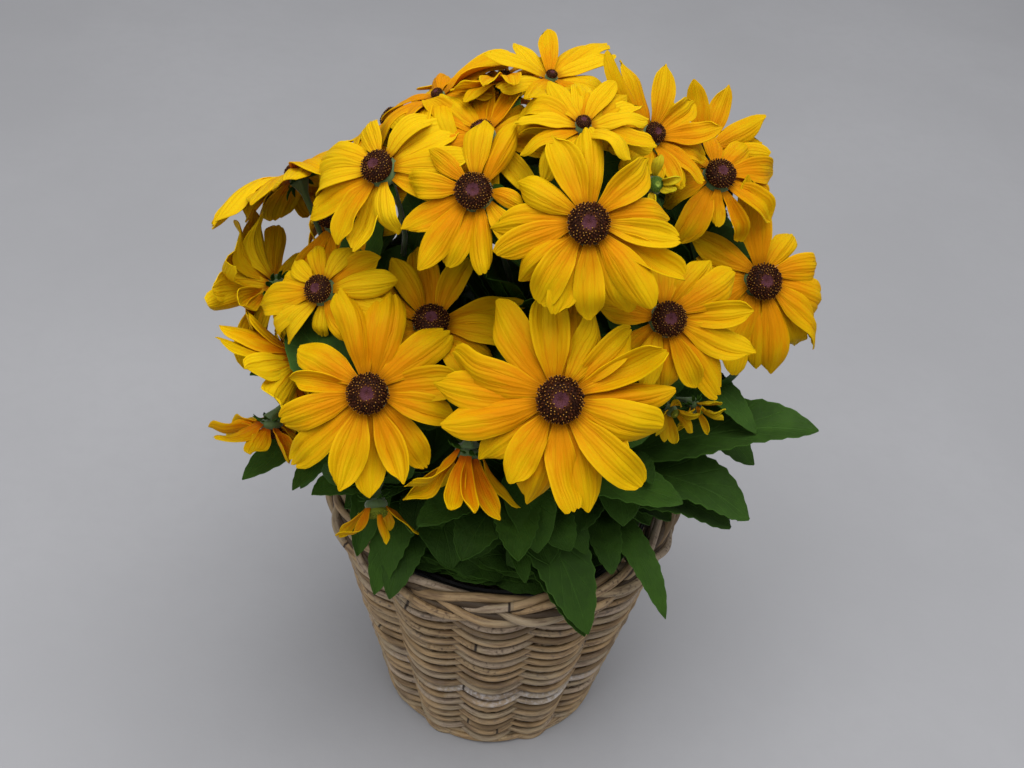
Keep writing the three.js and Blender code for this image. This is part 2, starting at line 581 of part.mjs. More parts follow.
// The woven wall: upright lobes, with rows that pass over on one lobe and under on the next
function basketBody() {
  const columns = LOBES * COLUMNS_PER_LOBE;
  const ring = (radiusAt, z) => {
    const points = [];
    for (let i = 0; i < columns; i += 1) {
      const angle = ((i - COLUMNS_PER_LOBE / 2) / columns) * 2 * Math.PI - Math.PI / 2;
      const radius = radiusAt(i);
      points.push(new THREE.Vector3(radius * Math.cos(angle), radius * Math.sin(angle), z));
    }
    return points;
  };
  const outside = [];
  for (let row = 0; row <= WEAVE_ROWS; row += 1) {
    const z = (row / WEAVE_ROWS) * WALL_TOP;
    const edge = row === 0 || row === WEAVE_ROWS;
    outside.push(ring((i) => {
      const onLobe = i % COLUMNS_PER_LOBE !== 0;
      const over = (Math.floor(i / COLUMNS_PER_LOBE) + row) % 2 ? WEAVE_RELIEF : -WEAVE_RELIEF;
      const depth = LOBE_DEPTH * (row === 0 ? 0.6 : 1);
      return wallRadius(z) + (onLobe ? depth + (edge ? 0 : over) : 0);
    }, z));
  }
  const inner = (z) => ring(() => wallRadius(z) - WALL_THICK, z);
  const below = [new THREE.Vector3(0, 0, 0)];
  const above = [new THREE.Vector3(0, 0, FLOOR_THICK)];
  return loft([below, ...outside, inner(WALL_TOP), inner(FLOOR_THICK), above]);
}

// The rolled border: strands that wind round the top edge
function basketBorder() {
  const columns = LOBES * COLUMNS_PER_LOBE;
  const corners = 6;
  const low = WALL_TOP + GAP;
  const high = BASKET_HEIGHT;
  const rings = [];
  for (let i = 0; i < columns; i += 1) {
    const angle = (i / columns) * 2 * Math.PI;
    const ring = [];
    for (let j = 0; j < corners; j += 1) {
      const round = ((j + 0.5) / corners) * 2 * Math.PI;
      const wave = BORDER_STRAND * Math.cos(2 * Math.PI * (i / COLUMNS_PER_LOBE + j / corners));
      const radius = BORDER_RADIUS + (BORDER_WIDE / 2 + wave * 0.6) * Math.sin(round);
      const share = 0.5 - 0.5 * Math.cos(round) / Math.cos(Math.PI / corners);
      const z = low + (high - BORDER_STRAND - low) * share + (share > 0.9 ? wave : 0);
      ring.push(new THREE.Vector3(radius * Math.cos(angle), radius * Math.sin(angle), z));
    }
    rings.push(ring);
  }
  const points = rings.flat();
  const faces = [];
  for (let i = 0; i < columns; i += 1) {
    for (let j = 0; j < corners; j += 1) {
      const a = i * corners + j;
      const b = i * corners + ((j + 1) % corners);
      const c = ((i + 1) % columns) * corners + ((j + 1) % corners);
      const d = ((i + 1) % columns) * corners + j;
      faces.push(a, c, b, a, d, c);
    }
  }
  return indexed(points, faces);
}

// The black pot, a plain tapered tub with a rolled lip
function nurseryPot() {
  const base = FLOOR_THICK + GAP;
  const profile = [
    [0, base],
    [POT_BASE_RADIUS, base],
    [POT_TOP_RADIUS, POT_TOP - POT_LIP],
    [POT_TOP_RADIUS + POT_LIP, POT_TOP - POT_LIP],
    [POT_TOP_RADIUS + POT_LIP, POT_TOP],
    [POT_TOP_RADIUS - POT_WALL, POT_TOP],
    [POT_BASE_RADIUS - POT_WALL, base + POT_FLOOR],
    [0, base + POT_FLOOR],
  ];
  return turned(profile);
}

function turned(profile) {
  const lathe = new THREE.LatheGeometry(profile.map(([r, z]) => new THREE.Vector2(r, z)), POT_SIDES);
  return lathe.rotateX(Math.PI / 2);
}

// The soil, with a lumpy top and a plain hole for each stem
function soil() {
  const random = seeded(11);
  const base = FLOOR_THICK + GAP + POT_FLOOR + GAP;
  const slope = (POT_TOP_RADIUS - POT_BASE_RADIUS) / (POT_TOP - base);
  const inner = (z) => POT_BASE_RADIUS - POT_WALL + (z - base) * slope - 2 * GAP;
  const ring = (radius, z, bump) => {
    const points = [];
    for (let i = 0; i < POT_SIDES; i += 1) {
      const angle = (i / POT_SIDES) * 2 * Math.PI;
      const height = z + (random() - 0.5) * bump;
      points.push(new THREE.Vector3(radius * Math.sin(angle), -radius * Math.cos(angle), height));
    }
    return points;
  };
  let body = solidOf(loft([
    [new THREE.Vector3(0, 0, base)],
    ring(inner(base), base, 0),
    ring(inner(SOIL_TOP), SOIL_TOP, 0),
    ring(inner(SOIL_TOP) * 0.8, SOIL_TOP + 1, SOIL_BUMP),
    ring(inner(SOIL_TOP) * 0.4, SOIL_TOP + 2, SOIL_BUMP),
    [new THREE.Vector3(0, 0, SOIL_TOP + 3)],
  ]));
  const up = new THREE.Vector3(0, 0, 1);
  const side = new THREE.Vector3(1, 0, 0);
  for (const [[x, y]] of Object.values(STEMS)) {
    const ends = [SOIL_TOP - HOLE_DEPTH, STEM_START];
    const line = ends.map((z) => ({ middle: new THREE.Vector3(x, y, z), along: up }));
    body = body.subtract(solidOf(loft(ringsAlong(line, side, STEM_RADIUS + 1.5 * GAP, STEM_SIDES))));
  }
  return body;
}

// A main stem's line above the soil, straight up at first and then over to its fork
function stemCurve([[x, y], fork]) {
  const foot = new THREE.Vector3(x, y, STEM_START);
  const top = new THREE.Vector3(...fork);
  const leave = new THREE.Vector3(x, y, STEM_START + (fork[2] - STEM_START) * 0.3);
  const arrive = foot.clone().lerp(top, 0.75);
  return new THREE.CubicBezierCurve3(foot, leave, arrive, top);
}

// A main stem, from the bottom of its hole to its fork
function mainStem([[x, y]], curve) {
  const up = new THREE.Vector3(0, 0, 1);
  const side = new THREE.Vector3(1, 0, 0);
  const foot = { middle: new THREE.Vector3(x, y, SOIL_TOP - HOLE_DEPTH + GAP), along: up };
  return solidOf(loft(ringsAlong([foot, ...lineOf(curve, 3)], side, STEM_RADIUS, STEM_SIDES)));
}

const COLOURS = {
  rattan: { color: 0x9a8468, roughness: 0.75, metalness: 0 },
  pot: { color: 0x1b1c1c, roughness: 0.45, metalness: 0 },
  soil: { color: 0x2b211a, roughness: 0.95, metalness: 0 },
  leaf: { color: 0x24481f, roughness: 0.6, metalness: 0 },
  ray: { color: 0xf2b50a, roughness: 0.55, metalness: 0 },
  cone: { color: 0x37191b, roughness: 0.8, metalness: 0 },
};

const group = new THREE.Group();

function addMesh(name, geometry, colour) {
  const mesh = new THREE.Mesh(geometry, new THREE.MeshStandardMaterial(COLOURS[colour]));
  mesh.name = name;
  group.add(mesh);
}

// Basket, pot and soil
const fixed = { basket_body: basketBody(), basket_border: basketBorder(), nursery_pot: nurseryPot() };
for (const [name, geometry] of Object.entries(fixed)) {
  addMesh(name, geometry, name === 'nursery_pot' ? 'pot' : 'rattan');
  setDown(solidOf(geometry), name);
}
const soilBody = soil();
addMesh('soil', geometryOf(soilBody), 'soil');
setDown(soilBody, 'soil');

// Stems and their forks
const plants = {};
for (const [name, spec] of Object.entries(STEMS)) {
  const curve = stemCurve(spec);
  const solid = mainStem(spec, curve);
  plants[name] = { curve, solids: [solid] };
  setDown(solid, name);
}

// Cones and the space of the hubs first, so that everything after bends clear of them
const blooms = BLOOMS.map((bloom, i) => {
  const name = `bloom_${String(i + 1).padStart(2, '0')}`;
  const frame = bloomFrame(bloom);
  const dome = cone(bloom, frame);
  setDown(solidOf(dome), name);
  setDown(solidOf(hubSpace(bloom, frame)), `${name}_hub`);
  return { name, bloom, frame, dome };
});

// Stalks, each bent clear of the other stems and blooms
const forks = {};
for (const { bloom, frame, name } of blooms) {
  const random = seeded(bloom.at[1] * 7 + 5);
  const order = forks[bloom.stem] || 0;
  forks[bloom.stem] = order + 1;
  const base = plants[bloom.stem].curve.getPoint(1 - 0.08 * order);
  for (let i = 0; i < 80; i += 1) {
    const bend = [(random() - 0.5) * i * 1.2, (random() - 0.5) * i * 1.2];
    const curve = stalkCurve(bloom, frame, base, bend);
    if (!isClear(stalk(bloom, frame, curve, CLEARANCE), bloom.stem)) {
      if (i === 79) throw new Error(`the stalk of ${name} isn't clear`);
      continue;
    }
    const solid = stalk(bloom, frame, curve, 0);
    plants[bloom.stem].solids.push(solid);
    setDown(solid, bloom.stem);
    break;
  }
}

// Rays, bloom by bloom from the front, then the leaves
for (const { name, bloom, frame, dome } of blooms) {
  addMesh(`${name}_rays`, bloomBody(bloom, frame, placeRays(bloom, frame, name)), 'ray');
  if (bloom.own) addMesh(`${name}_cone`, dome, 'cone');
}
for (const spec of LEAVES) {
  const { curve, solids } = plants[spec.stem];
  solids.push(placeLeaf(spec, curve));
}
for (const [name, { solids }] of Object.entries(plants)) {
  addMesh(`stem_${name}`, geometryOf(wasm.Manifold.union(solids)), 'leaf');
}

export default group;
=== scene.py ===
"""A potted rudbeckia in a woven basket: petals, cones, leaves, stems, basket, pot and soil."""

import math
import random

import bpy
import numpy as np
from mathutils import Matrix, Vector


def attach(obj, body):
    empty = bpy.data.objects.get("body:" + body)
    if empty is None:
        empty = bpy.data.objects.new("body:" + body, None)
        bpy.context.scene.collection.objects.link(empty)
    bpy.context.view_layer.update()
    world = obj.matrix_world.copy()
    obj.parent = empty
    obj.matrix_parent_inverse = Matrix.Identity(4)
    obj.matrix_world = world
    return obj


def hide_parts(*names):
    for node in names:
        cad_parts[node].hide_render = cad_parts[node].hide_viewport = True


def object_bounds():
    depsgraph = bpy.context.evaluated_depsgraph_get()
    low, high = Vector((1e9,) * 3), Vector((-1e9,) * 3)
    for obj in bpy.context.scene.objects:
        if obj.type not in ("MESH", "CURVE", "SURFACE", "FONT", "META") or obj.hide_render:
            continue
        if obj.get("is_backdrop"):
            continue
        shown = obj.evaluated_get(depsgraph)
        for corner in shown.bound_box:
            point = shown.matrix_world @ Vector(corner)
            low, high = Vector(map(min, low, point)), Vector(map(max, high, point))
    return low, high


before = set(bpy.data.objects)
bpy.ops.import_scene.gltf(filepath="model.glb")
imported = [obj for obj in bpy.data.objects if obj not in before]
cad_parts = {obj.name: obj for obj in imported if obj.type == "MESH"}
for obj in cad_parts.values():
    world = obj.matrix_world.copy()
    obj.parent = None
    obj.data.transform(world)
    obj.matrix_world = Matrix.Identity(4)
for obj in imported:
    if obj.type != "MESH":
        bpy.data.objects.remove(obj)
CAD_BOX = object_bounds()

bl_info = {
    "name": "Potted rudbeckia",
    "version": (1, 0, 0),
    "blender": (4, 5, 0),
    "location": "3D View > Sidebar > Rudbeckia",
    "description": "Models the blooms, leaves and basket of a potted rudbeckia around its solid model",
    "category": "Object",
}

MM = 0.001
WELD = 1e-6
GOLDEN_ANGLE = math.radians(137.508)
UPWARDS = np.array([0.0, 0.0, 1.0])

# Blooms, as the solid model has them
HUB_THICK = 3.4 * MM
ROOT_SHARE = 0.88
ROOT_COVER = 1.2 * MM

# Blades of the solid model: the places of their rings as shares of their length, and how wide the
# last ring is as a share of the widest
RAY_SHARES = [0, 0.36, 0.74, 1]
LEAF_SHARES = [0, 0.13, 0.3, 0.42, 0.54, 0.68, 0.8, 1]
LAST_RAY_RING = 1
LAST_LEAF_RING = 0.62
FEWEST_RINGS = 3

# Petals, hubs and bracts
PETAL_SINK = 0.2 * MM
PETAL_TINT = 0.42
LEMON_TINT = 0.75
ORANGE_TINT = 0.35
LAYER_SINK = 1.6 * MM
FEWEST_RAYS = 5
BUD_TURN = math.radians(58)
HUB_DEPTH = 6.2 * MM
HUB_RISE = 0.8 * MM
HUB_SHADE = 0.4
BRACTS = 10

# Cones: the profile's radius and height from top to foot, and the florets' tones from dark to light
CONE_PROFILE = [
    (0, 0.8),
    (0.2, 0.92),
    (0.45, 0.97),
    (0.74, 0.88),
    (0.94, 0.64),
    (1, 0.34),
    (0.8, 0),
    (0, -0.06),
]
CONE_TONES = {
    "ripe": ((0.012, 0.003, 0.001), (0.085, 0.022, 0.005), (0.1, 0.03, 0.042)),
    "young": ((0.1, 0.13, 0.01), (0.32, 0.36, 0.03), (0.5, 0.44, 0.05)),
    "bud": ((0.05, 0.1, 0.012), (0.15, 0.26, 0.03), (0.3, 0.4, 0.06)),
}
CONE_SCALE = 0.92
OPEN_SHARE = 0.35
FLORET_REACH = 0.66
POLLEN_CHANCE = 0.6
POLLEN_SIZE = 0.03

# Leaves: their teeth, how their shades are drawn, and the room that the small ones need
SMALL_TEETH = 4
TOOTH_DEPTH = 0.13
TOOTH_START = 0.15
LARGE_SHADES = (1.8, 3)
FILLER_SHADES = (2, 3)
# Low and backing leaves lean darker: their own random tones, and painted shade for where they sit among the
# stems and behind the blooms
LOW_TONES_WITH_PAINTED_SHADE = (1.6, 4.5)
BOX_MARGIN = 4 * MM
RIM_INSIDE = 90 * MM
RIM_CLEAR = 203 * MM
LOWEST_TIP = 180 * MM
BEHIND_RAYS = 6 * MM
FILLER_CLEAR = 60 * MM
LOW_CLEAR = 14 * MM
BACKING_CLEAR = 40 * MM

# Meshes: faces across and along, segments and rings, and the sharpest smooth angles in degrees
PETAL_GRID = (10, 14)
BRACT_GRID = (2, 5)
LEAF_GRID = (6, 39)
SMALL_LEAF_GRID = (6, 12)
SOIL_GRID = (36, 36)
DOME_GRID = (28, 18)
HUB_GRID = (16, 9)
PETAL_ANGLE = 50
LEAF_ANGLE = 60
POT_ANGLE = 40

# Forms: the share of a blade's length and its width there, for a petal both pointed and blunt
RAY_WIDTHS = [
    (0, 0.32, 0.36),
    (0.15, 0.56, 0.6),
    (0.3, 0.84, 0.86),
    (0.45, 0.98, 0.97),
    (0.6, 1.02, 1.02),
    (0.74, 0.95, 1.02),
    (0.86, 0.74, 0.95),
    (0.95, 0.42, 0.8),
    (1, 0.12, 0.55),
]
LEAF_WIDTHS = [
    (0, 0.1),
    (0.08, 0.12),
    (0.15, 0.42),
    (0.24, 0.78),
    (0.34, 0.96),
    (0.46, 1.02),
    (0.6, 0.97),
    (0.75, 0.84),
    (0.88, 0.58),
    (0.95, 0.32),
    (1, 0.03),
]

# Main stems: the foot on the soil and the fork at the top, in millimetres
STEM_FOOT_HEIGHT = 176
STEMS = {
    "front": ((4, -46), (6, -62, 268)),
    "left_front": ((-44, -32), (-50, -52, 240)),
    "right_front": ((46, -30), (58, -40, 252)),
    "middle": ((0, -2), (2, -22, 330)),
    "left": ((-54, 16), (-76, 4, 262)),
    "right": ((54, 18), (72, 18, 290)),
    "back_left": ((-26, 52), (-40, 58, 285)),
    "back_right": ((28, 54), (44, 62, 285)),
}

# Cones that are not of the ripe dark kind
CONE_KINDS = {"bloom_18": "young", "bloom_19": "young", "bloom_20": "young", "bloom_34": "bud"}

# How green the petals of some blooms are
GREENISH_BLOOMS = {"bloom_21": 0.12, "bloom_34": 1.0, "bloom_18": 0.1, "bloom_19": 0.4, "bloom_20": 0.4}

# Blooms with lemon petals, with narrow orange ones, and with ones that hang and curl
LEMON_BLOOMS = {"bloom_05", "bloom_09", "bloom_11", "bloom_13", "bloom_16", "bloom_21", "bloom_22"}
ORANGE_BLOOMS = {"bloom_17", "bloom_18"}
WILTED_BLOOMS = {"bloom_17", "bloom_18", "bloom_19", "bloom_20"}

# Blooms with broad petals and no leaves behind them, and those with a single layer of petals
BARE_BLOOMS = {"bloom_16", "bloom_21", "bloom_22", "bloom_23"}
SINGLE_BLOOMS = {"bloom_13"}

# Cones that are smaller than in the solid model, as a share of their size there
SMALL_CONES = {
    "bloom_11": 0.66,
    "bloom_12": 0.76,
    "bloom_13": 0.55,
    "bloom_14": 0.75,
    "bloom_16": 0.65,
    "bloom_19": 0.6,
    "bloom_20": 0.6,
    "bloom_25": 0.55,
    "bloom_26": 0.55,
    "bloom_27": 0.7,
}

# Pot and soil, as the solid model has them
POT_BASE = 8.3 * MM
POT_TOP = 182 * MM
POT_BASE_RADIUS = 58 * MM
POT_TOP_RADIUS = 90 * MM
POT_WALL = 2 * MM
POT_LIP = 3 * MM
SOIL_TOP = 171 * MM
SOIL_RADIUS = 85 * MM

# Waves and crumbs of the soil, and how thick its bed is
SOIL_WAVES = 14
SOIL_THICK = 10 * MM
CRUMBS = 340

# Basket, as the solid model has it
WALL_TOP = 175 * MM
WALL_BASE_RADIUS = 70 * MM
WALL_TOP_RADIUS = 102 * MM
BORDER_MIDDLE = 185 * MM
LOBES = 14

# Basket: border, stakes, floor, foot, rods in a row, and the rows with the pale wash
PLAIT_RADIUS = 105.5 * MM
PLAIT_RODS = 5
PLAIT_TURNS = 4
PLAIT_FALL = 6.8 * MM
PLAIT_DEPTH = 3.6 * MM
PLAIT_HALF = 2.7 * MM
PLAIT_TILT = math.radians(22)
BORDER_RODS = 4
STAKE_FOOT = 2 * MM
STAKE_LENGTH = WALL_TOP + 4 * MM
STAKE_HALF = 2.2 * MM
FLOOR_RINGS = 16
FOOT_STRANDS = 2
FOOT_TURNS = 3
FOOT_RADIUS = WALL_BASE_RADIUS + 4 * MM
FOOT_MIDDLE = 3.8 * MM
FOOT_WIDE = 2 * MM
FOOT_TALL = 1.4 * MM
FOOT_HALF = 2 * MM
ROW_RODS = 2
JOINT_CHANCE = 0.6
WASH_LOW = 56 * MM
WASH_HIGH = 76 * MM

# Petal colours that the properties don't hold
PETAL_LEMON = (0.84, 0.57, 0.008)
PETAL_RIB = (0.62, 0.2, 0.0004)
# Painted shade: the dark line down each sunken crease
PETAL_CREASE_SHADE = (0.42, 0.1, 0.0002)
PETAL_SHADOW = (0.54, 0.16, 0.0004)
PETAL_STREAK = (0.64, 0.22, 0.0004)
# Painted highlight: the lighter yellow along a petal's edges
PETAL_EDGE_HIGHLIGHT = (0.84, 0.54, 0.004)
PETAL_GREEN = (0.42, 0.46, 0.02)
PETAL_BACK = (0.52, 0.3, 0.002)

# Stage: each light has a name, a place, a size and a power
LIGHTS = [("key", (0.2, -0.25, 2.1), 1.6, 36), ("fill", (-1.0, -0.8, 1.5), 1.4, 8)]
LIGHT_AIM = (0, 0, 0.3)
SKY_COLOUR = (0.93, 0.94, 0.97, 1)
SKY_STRENGTH = 0.46
FLOOR_SIZE = 8
SENSOR_WIDTH = 36
CLIP_START = 0.01

# Seeds of the random draws that no bloom or stem owns
BASKET_SEED = 14
SOIL_SEED = 3
LOW_LEAVES_SEED = 5


def wall_radius(z):
    return WALL_BASE_RADIUS + (WALL_TOP_RADIUS - WALL_BASE_RADIUS) * z / WALL_TOP


def unit(vectors):
    """Vectors, one or many, brought to length one."""
    length = np.linalg.norm(vectors, axis=-1, keepdims=True)
    return vectors / np.maximum(length, 1e-12)


def smooth_step(low, high, values):
    share = np.clip((values - low) / (high - low), 0, 1)
    return share * share * (3 - 2 * share)


# Reading the solid model


def welded(node):
    """A node's points with their doubles merged, and the neighbours of each point."""
    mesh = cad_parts[node].data
    corners = np.empty(len(mesh.vertices) * 3, np.float32)
    mesh.vertices.foreach_get("co", corners)
    corners = corners.reshape(-1, 3).astype(float)
    keys = np.round(corners / WELD).astype(np.int64)
    _, first, index = np.unique(keys, axis=0, return_index=True, return_inverse=True)
    index = index.ravel()
    near = [set() for _ in first]
    for face in mesh.polygons:
        ids = [int(index[v]) for v in face.vertices]
        for a in ids:
            near[a].update(b for b in ids if b != a)
    return corners[first], near


def blade_rings(near, tip, most):
    """The rings of three points that a blade has, from its tip back to its root."""
    rings = []
    seen = {tip}
    edge = {tip}
    while len(rings) < most:
        ring = set().union(*(near[p] for p in edge)) - seen
        if len(ring) != 3:
            break
        rings.append(sorted(ring))
        seen |= ring
        edge = ring
    return rings


def blade_tips(near):
    """The points that only one ring of three surrounds."""
    return [i for i, around in enumerate(near) if len(around) == 3]


def station(ring):
    """The middle, upward direction and half width of one ring of a blade."""
    pairs = [(0, 1, 2), (1, 2, 0), (2, 0, 1)]
    a, b, under = max(pairs, key=lambda p: np.linalg.norm(ring[p[0]] - ring[p[1]]))
    middle = (ring[a] + ring[b]) / 2
    return middle, unit(middle - ring[under]), np.linalg.norm(ring[a] - ring[b]) / 2


class Blade:
    """A ray or leaf of the solid model: its line, the way its face looks, and its half width."""

    def __init__(self, shares, middles, ups, half, degree):
        self.shares = np.array(shares)
        self.ups = np.array(ups)
        self.half = half
        self.line = np.polynomial.polynomial.polyfit(self.shares, np.array(middles), degree)
        self.slope = np.polynomial.polynomial.polyder(self.line)
        steps = self.at(np.linspace(0, 1, 20))[0]
        self.length = float(np.linalg.norm(np.diff(steps, axis=0), axis=1).sum())

    def at(self, share):
        """The places, and the directions across, along and up, at these shares of the length."""
        place = np.polynomial.polynomial.polyval(share, self.line).T
        along = unit(np.polynomial.polynomial.polyval(share, self.slope).T)
        up = np.column_stack([np.interp(share, self.shares, self.ups[:, k]) for k in range(3)])
        across = unit(np.cross(up, along))
        return place, across, along, np.cross(along, across)

    def turned(self, middle, axis, angle, sink=0.0):
        """The same blade turned about an axis, and sunk along it."""
        turn = np.array(Matrix.Rotation(angle, 3, Vector(axis)))
        places = (self.at(np.array(RAY_SHARES))[0] - middle) @ turn.T + middle - axis * sink
        return Blade(RAY_SHARES, places, self.ups @ turn.T, self.half, 3)

    def lay(self, across, along, lift):
        """The points of a sheet laid on the blade: metres across, share along, metres above."""
        flat = np.clip(along, 0, 1)
        place, side, ahead, up = self.at(flat)
        beyond = (along - flat) * self.length
        return place + side * across[:, None] + up * lift[:, None] + ahead * beyond[:, None]


def trace_blade(points, rings, tip, shares, last_ring, degree):
    """The blade from its rings to its tip; last_ring is its last ring's share of its half width."""
    stations = [station(points[ring]) for ring in reversed(rings)]
    middles = [s[0] for s in stations] + [points[tip]]
    ups = [s[1] for s in stations] + [stations[-1][1]]
    return Blade(shares, middles, ups, stations[-1][2] / last_ring, degree)


def bloom_nodes():
    """The node of each bloom's rays, by the bloom's name."""
    end = "_rays"
    return {node[: -len(end)]: node for node in sorted(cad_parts) if node.endswith(end)}


def own_cone(name):
    """The node of a bloom's cone, where the solid model has one apart from its rays."""
    node = f"{name}_cone"
    return [node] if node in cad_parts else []


def read_bloom(node):
    """A bloom's rays, its middle, the way it faces, its cone's radius and how far its rays reach."""
    points, near = welded(node)
    rays = []
    used = set()
    most = len(RAY_SHARES) - 1
    for tip in blade_tips(near):
        rings = blade_rings(near, tip, most)
        if len(rings) < most:
            continue
        used.update([tip], *rings)
        rays.append(trace_blade(points, rings, tip, RAY_SHARES, LAST_RAY_RING, 3))
    facing = unit(np.mean([ray.ups[0] for ray in rays], axis=0))
    spare = [i for i in range(len(points)) if i not in used]
    spare.sort(key=lambda i: points[i] @ facing)
    under, apex = points[spare[0]], points[spare[-1]]
    out = unit(apex - under)
    middle = under + out * HUB_THICK
    roots = np.array([ray.at(np.zeros(1))[0][0] for ray in rays]) - middle
    flat = roots - np.outer(roots @ out, out)
    radius = float(np.linalg.norm(flat, axis=1).mean()) / ROOT_SHARE
    reach = max(np.linalg.norm(ray.at(np.ones(1))[0][0] - middle) for ray in rays)
    if len(rays) < FEWEST_RAYS:
        rays += [ray.turned(middle, out, BUD_TURN) for ray in rays]
    return {"rays": rays, "middle": middle, "out": out, "radius": radius, "reach": reach}


def read_leaves(node):
    """The leaves of a stem node, and the points of their blades."""
    points, near = welded(node)
    leaves = []
    blade_points = []
    for tip in blade_tips(near):
        rings = blade_rings(near, tip, len(LEAF_SHARES) - 1)
        if len(rings) < FEWEST_RINGS or points[tip][2] < STEM_FOOT_HEIGHT * MM:
            continue
        shares = LEAF_SHARES[-1 - len(rings):]
        leaves.append(trace_blade(points, rings, tip, shares, LAST_LEAF_RING, 2))
        wide = [ring for ring, share in zip(rings, LEAF_SHARES[-2::-1]) if share > LEAF_SHARES[1]]
        blade_points.extend(points[[tip] + [i for ring in wide for i in ring]])
    return leaves, np.array(blade_points)


def stem_line(name, share):
    """The points of a main stem, from its foot on the soil to its fork."""
    (x, y), fork = STEMS[name]
    foot = np.array([x, y, STEM_FOOT_HEIGHT], float)
    top = np.array(fork, float)
    leave = foot + [0, 0, (top[2] - foot[2]) * 0.3]
    arrive = foot + (top - foot) * 0.75
    t = np.asarray(share, float)[..., None]
    curve = (1 - t) ** 3 * foot + 3 * t * (1 - t) ** 2 * leave + 3 * t * t * (1 - t) * arrive + t**3 * top
    return curve * MM


# Making meshes


def start_primitive(add, name, **sizes):
    """Adds a primitive with nothing else selected, and names it."""
    bpy.ops.object.select_all(action="DESELECT")
    add(**sizes)
    piece = bpy.context.active_object
    piece.name = name
    return piece


def activate(piece):
    bpy.ops.object.select_all(action="DESELECT")
    piece.select_set(True)
    bpy.context.view_layer.objects.active = piece


def apply_modifier(piece, kind, **settings):
    """Adds a modifier with these settings and applies it."""
    activate(piece)
    modifier = piece.modifiers.new(kind.title(), kind)
    for key, value in settings.items():
        setattr(modifier, key, value)
    bpy.ops.object.modifier_apply(modifier=modifier.name)


def points_of(piece):
    points = np.empty(len(piece.data.vertices) * 3, np.float32)
    piece.data.vertices.foreach_get("co", points)
    return points.reshape(-1, 3).astype(float)


def move_points(piece, points):
    piece.data.vertices.foreach_set("co", np.asarray(points, np.float32).ravel())
    piece.data.update()


def model_grid(name, across, along):
    """A flat sheet one unit wide about x = 0 and one unit long from y = 0, to be laid on blades."""
    sheet = start_primitive(
        bpy.ops.mesh.primitive_grid_add,
        name,
        x_subdivisions=across,
        y_subdivisions=along,
        size=1,
        calc_uvs=True,
    )
    bpy.ops.object.mode_set(mode="EDIT")
    bpy.ops.mesh.select_all(action="SELECT")
    bpy.ops.transform.translate(value=(0, 0.5, 0))
    bpy.ops.object.mode_set(mode="OBJECT")
    return sheet


def copies(name, pattern, fits, marks):
    """One piece made of a copy of the pattern for each array of points in fits.

    marks gives, for each point attribute, one value for each copy or an array of one for each point.
    """
    mesh = pattern.data
    count = len(mesh.vertices)
    faces = [tuple(face.vertices) for face in mesh.polygons]
    all_faces = [tuple(v + count * i for v in face) for i in range(len(fits)) for face in faces]
    new = bpy.data.meshes.new(name)
    new.from_pydata(np.concatenate(fits), [], all_faces)
    flat = np.empty(len(mesh.loops) * 2, np.float32)
    mesh.uv_layers.active.uv.foreach_get("vector", flat)
    layer = new.uv_layers.new(name="UVMap")
    layer.uv.foreach_set("vector", np.tile(flat, len(fits)))
    for key, values in marks.items():
        spread = [np.broadcast_to(value, count) for value in values]
        attribute = new.attributes.new(key, "FLOAT", "POINT")
        attribute.data.foreach_set("value", np.concatenate(spread).astype(np.float32))
    piece = bpy.data.objects.new(name, new)
    bpy.context.scene.collection.objects.link(piece)
    return piece


def join(pieces, name):
    """Joins pieces into one with this name."""
    activate(pieces[0])
    for piece in pieces[1:]:
        piece.select_set(True)
    bpy.ops.object.join()
    pieces[0].name = name
    pieces[0].data.name = name
    return pieces[0]


def shade_smooth(piece, angle=None):
    activate(piece)
    if angle is None:
        bpy.ops.object.shade_smooth()
    else:
        bpy.ops.object.shade_smooth_by_angle(angle=math.radians(angle))


def paint(piece, *materials):
    piece.data.materials.clear()
    for material in materials:
        piece.data.materials.append(material)


def thicken(piece, front, back, thickness, angle):
    """Gives a sheet its two finishes, its thickness and smooth shading up to an angle."""
    paint(piece, front, back)
    apply_modifier(piece, "SOLIDIFY", thickness=thickness, offset=-1, use_rim=True, material_offset=1)
    shade_smooth(piece, angle)


def settle(piece, slot, *nodes):
    """Ties a finished piece to the body and hides the nodes that it stands for; slot is not used."""
    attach(piece, "root")
    if nodes:
        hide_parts(*nodes)


def discard(piece):
    bpy.data.objects.remove(piece, do_unlink=True)


# Materials


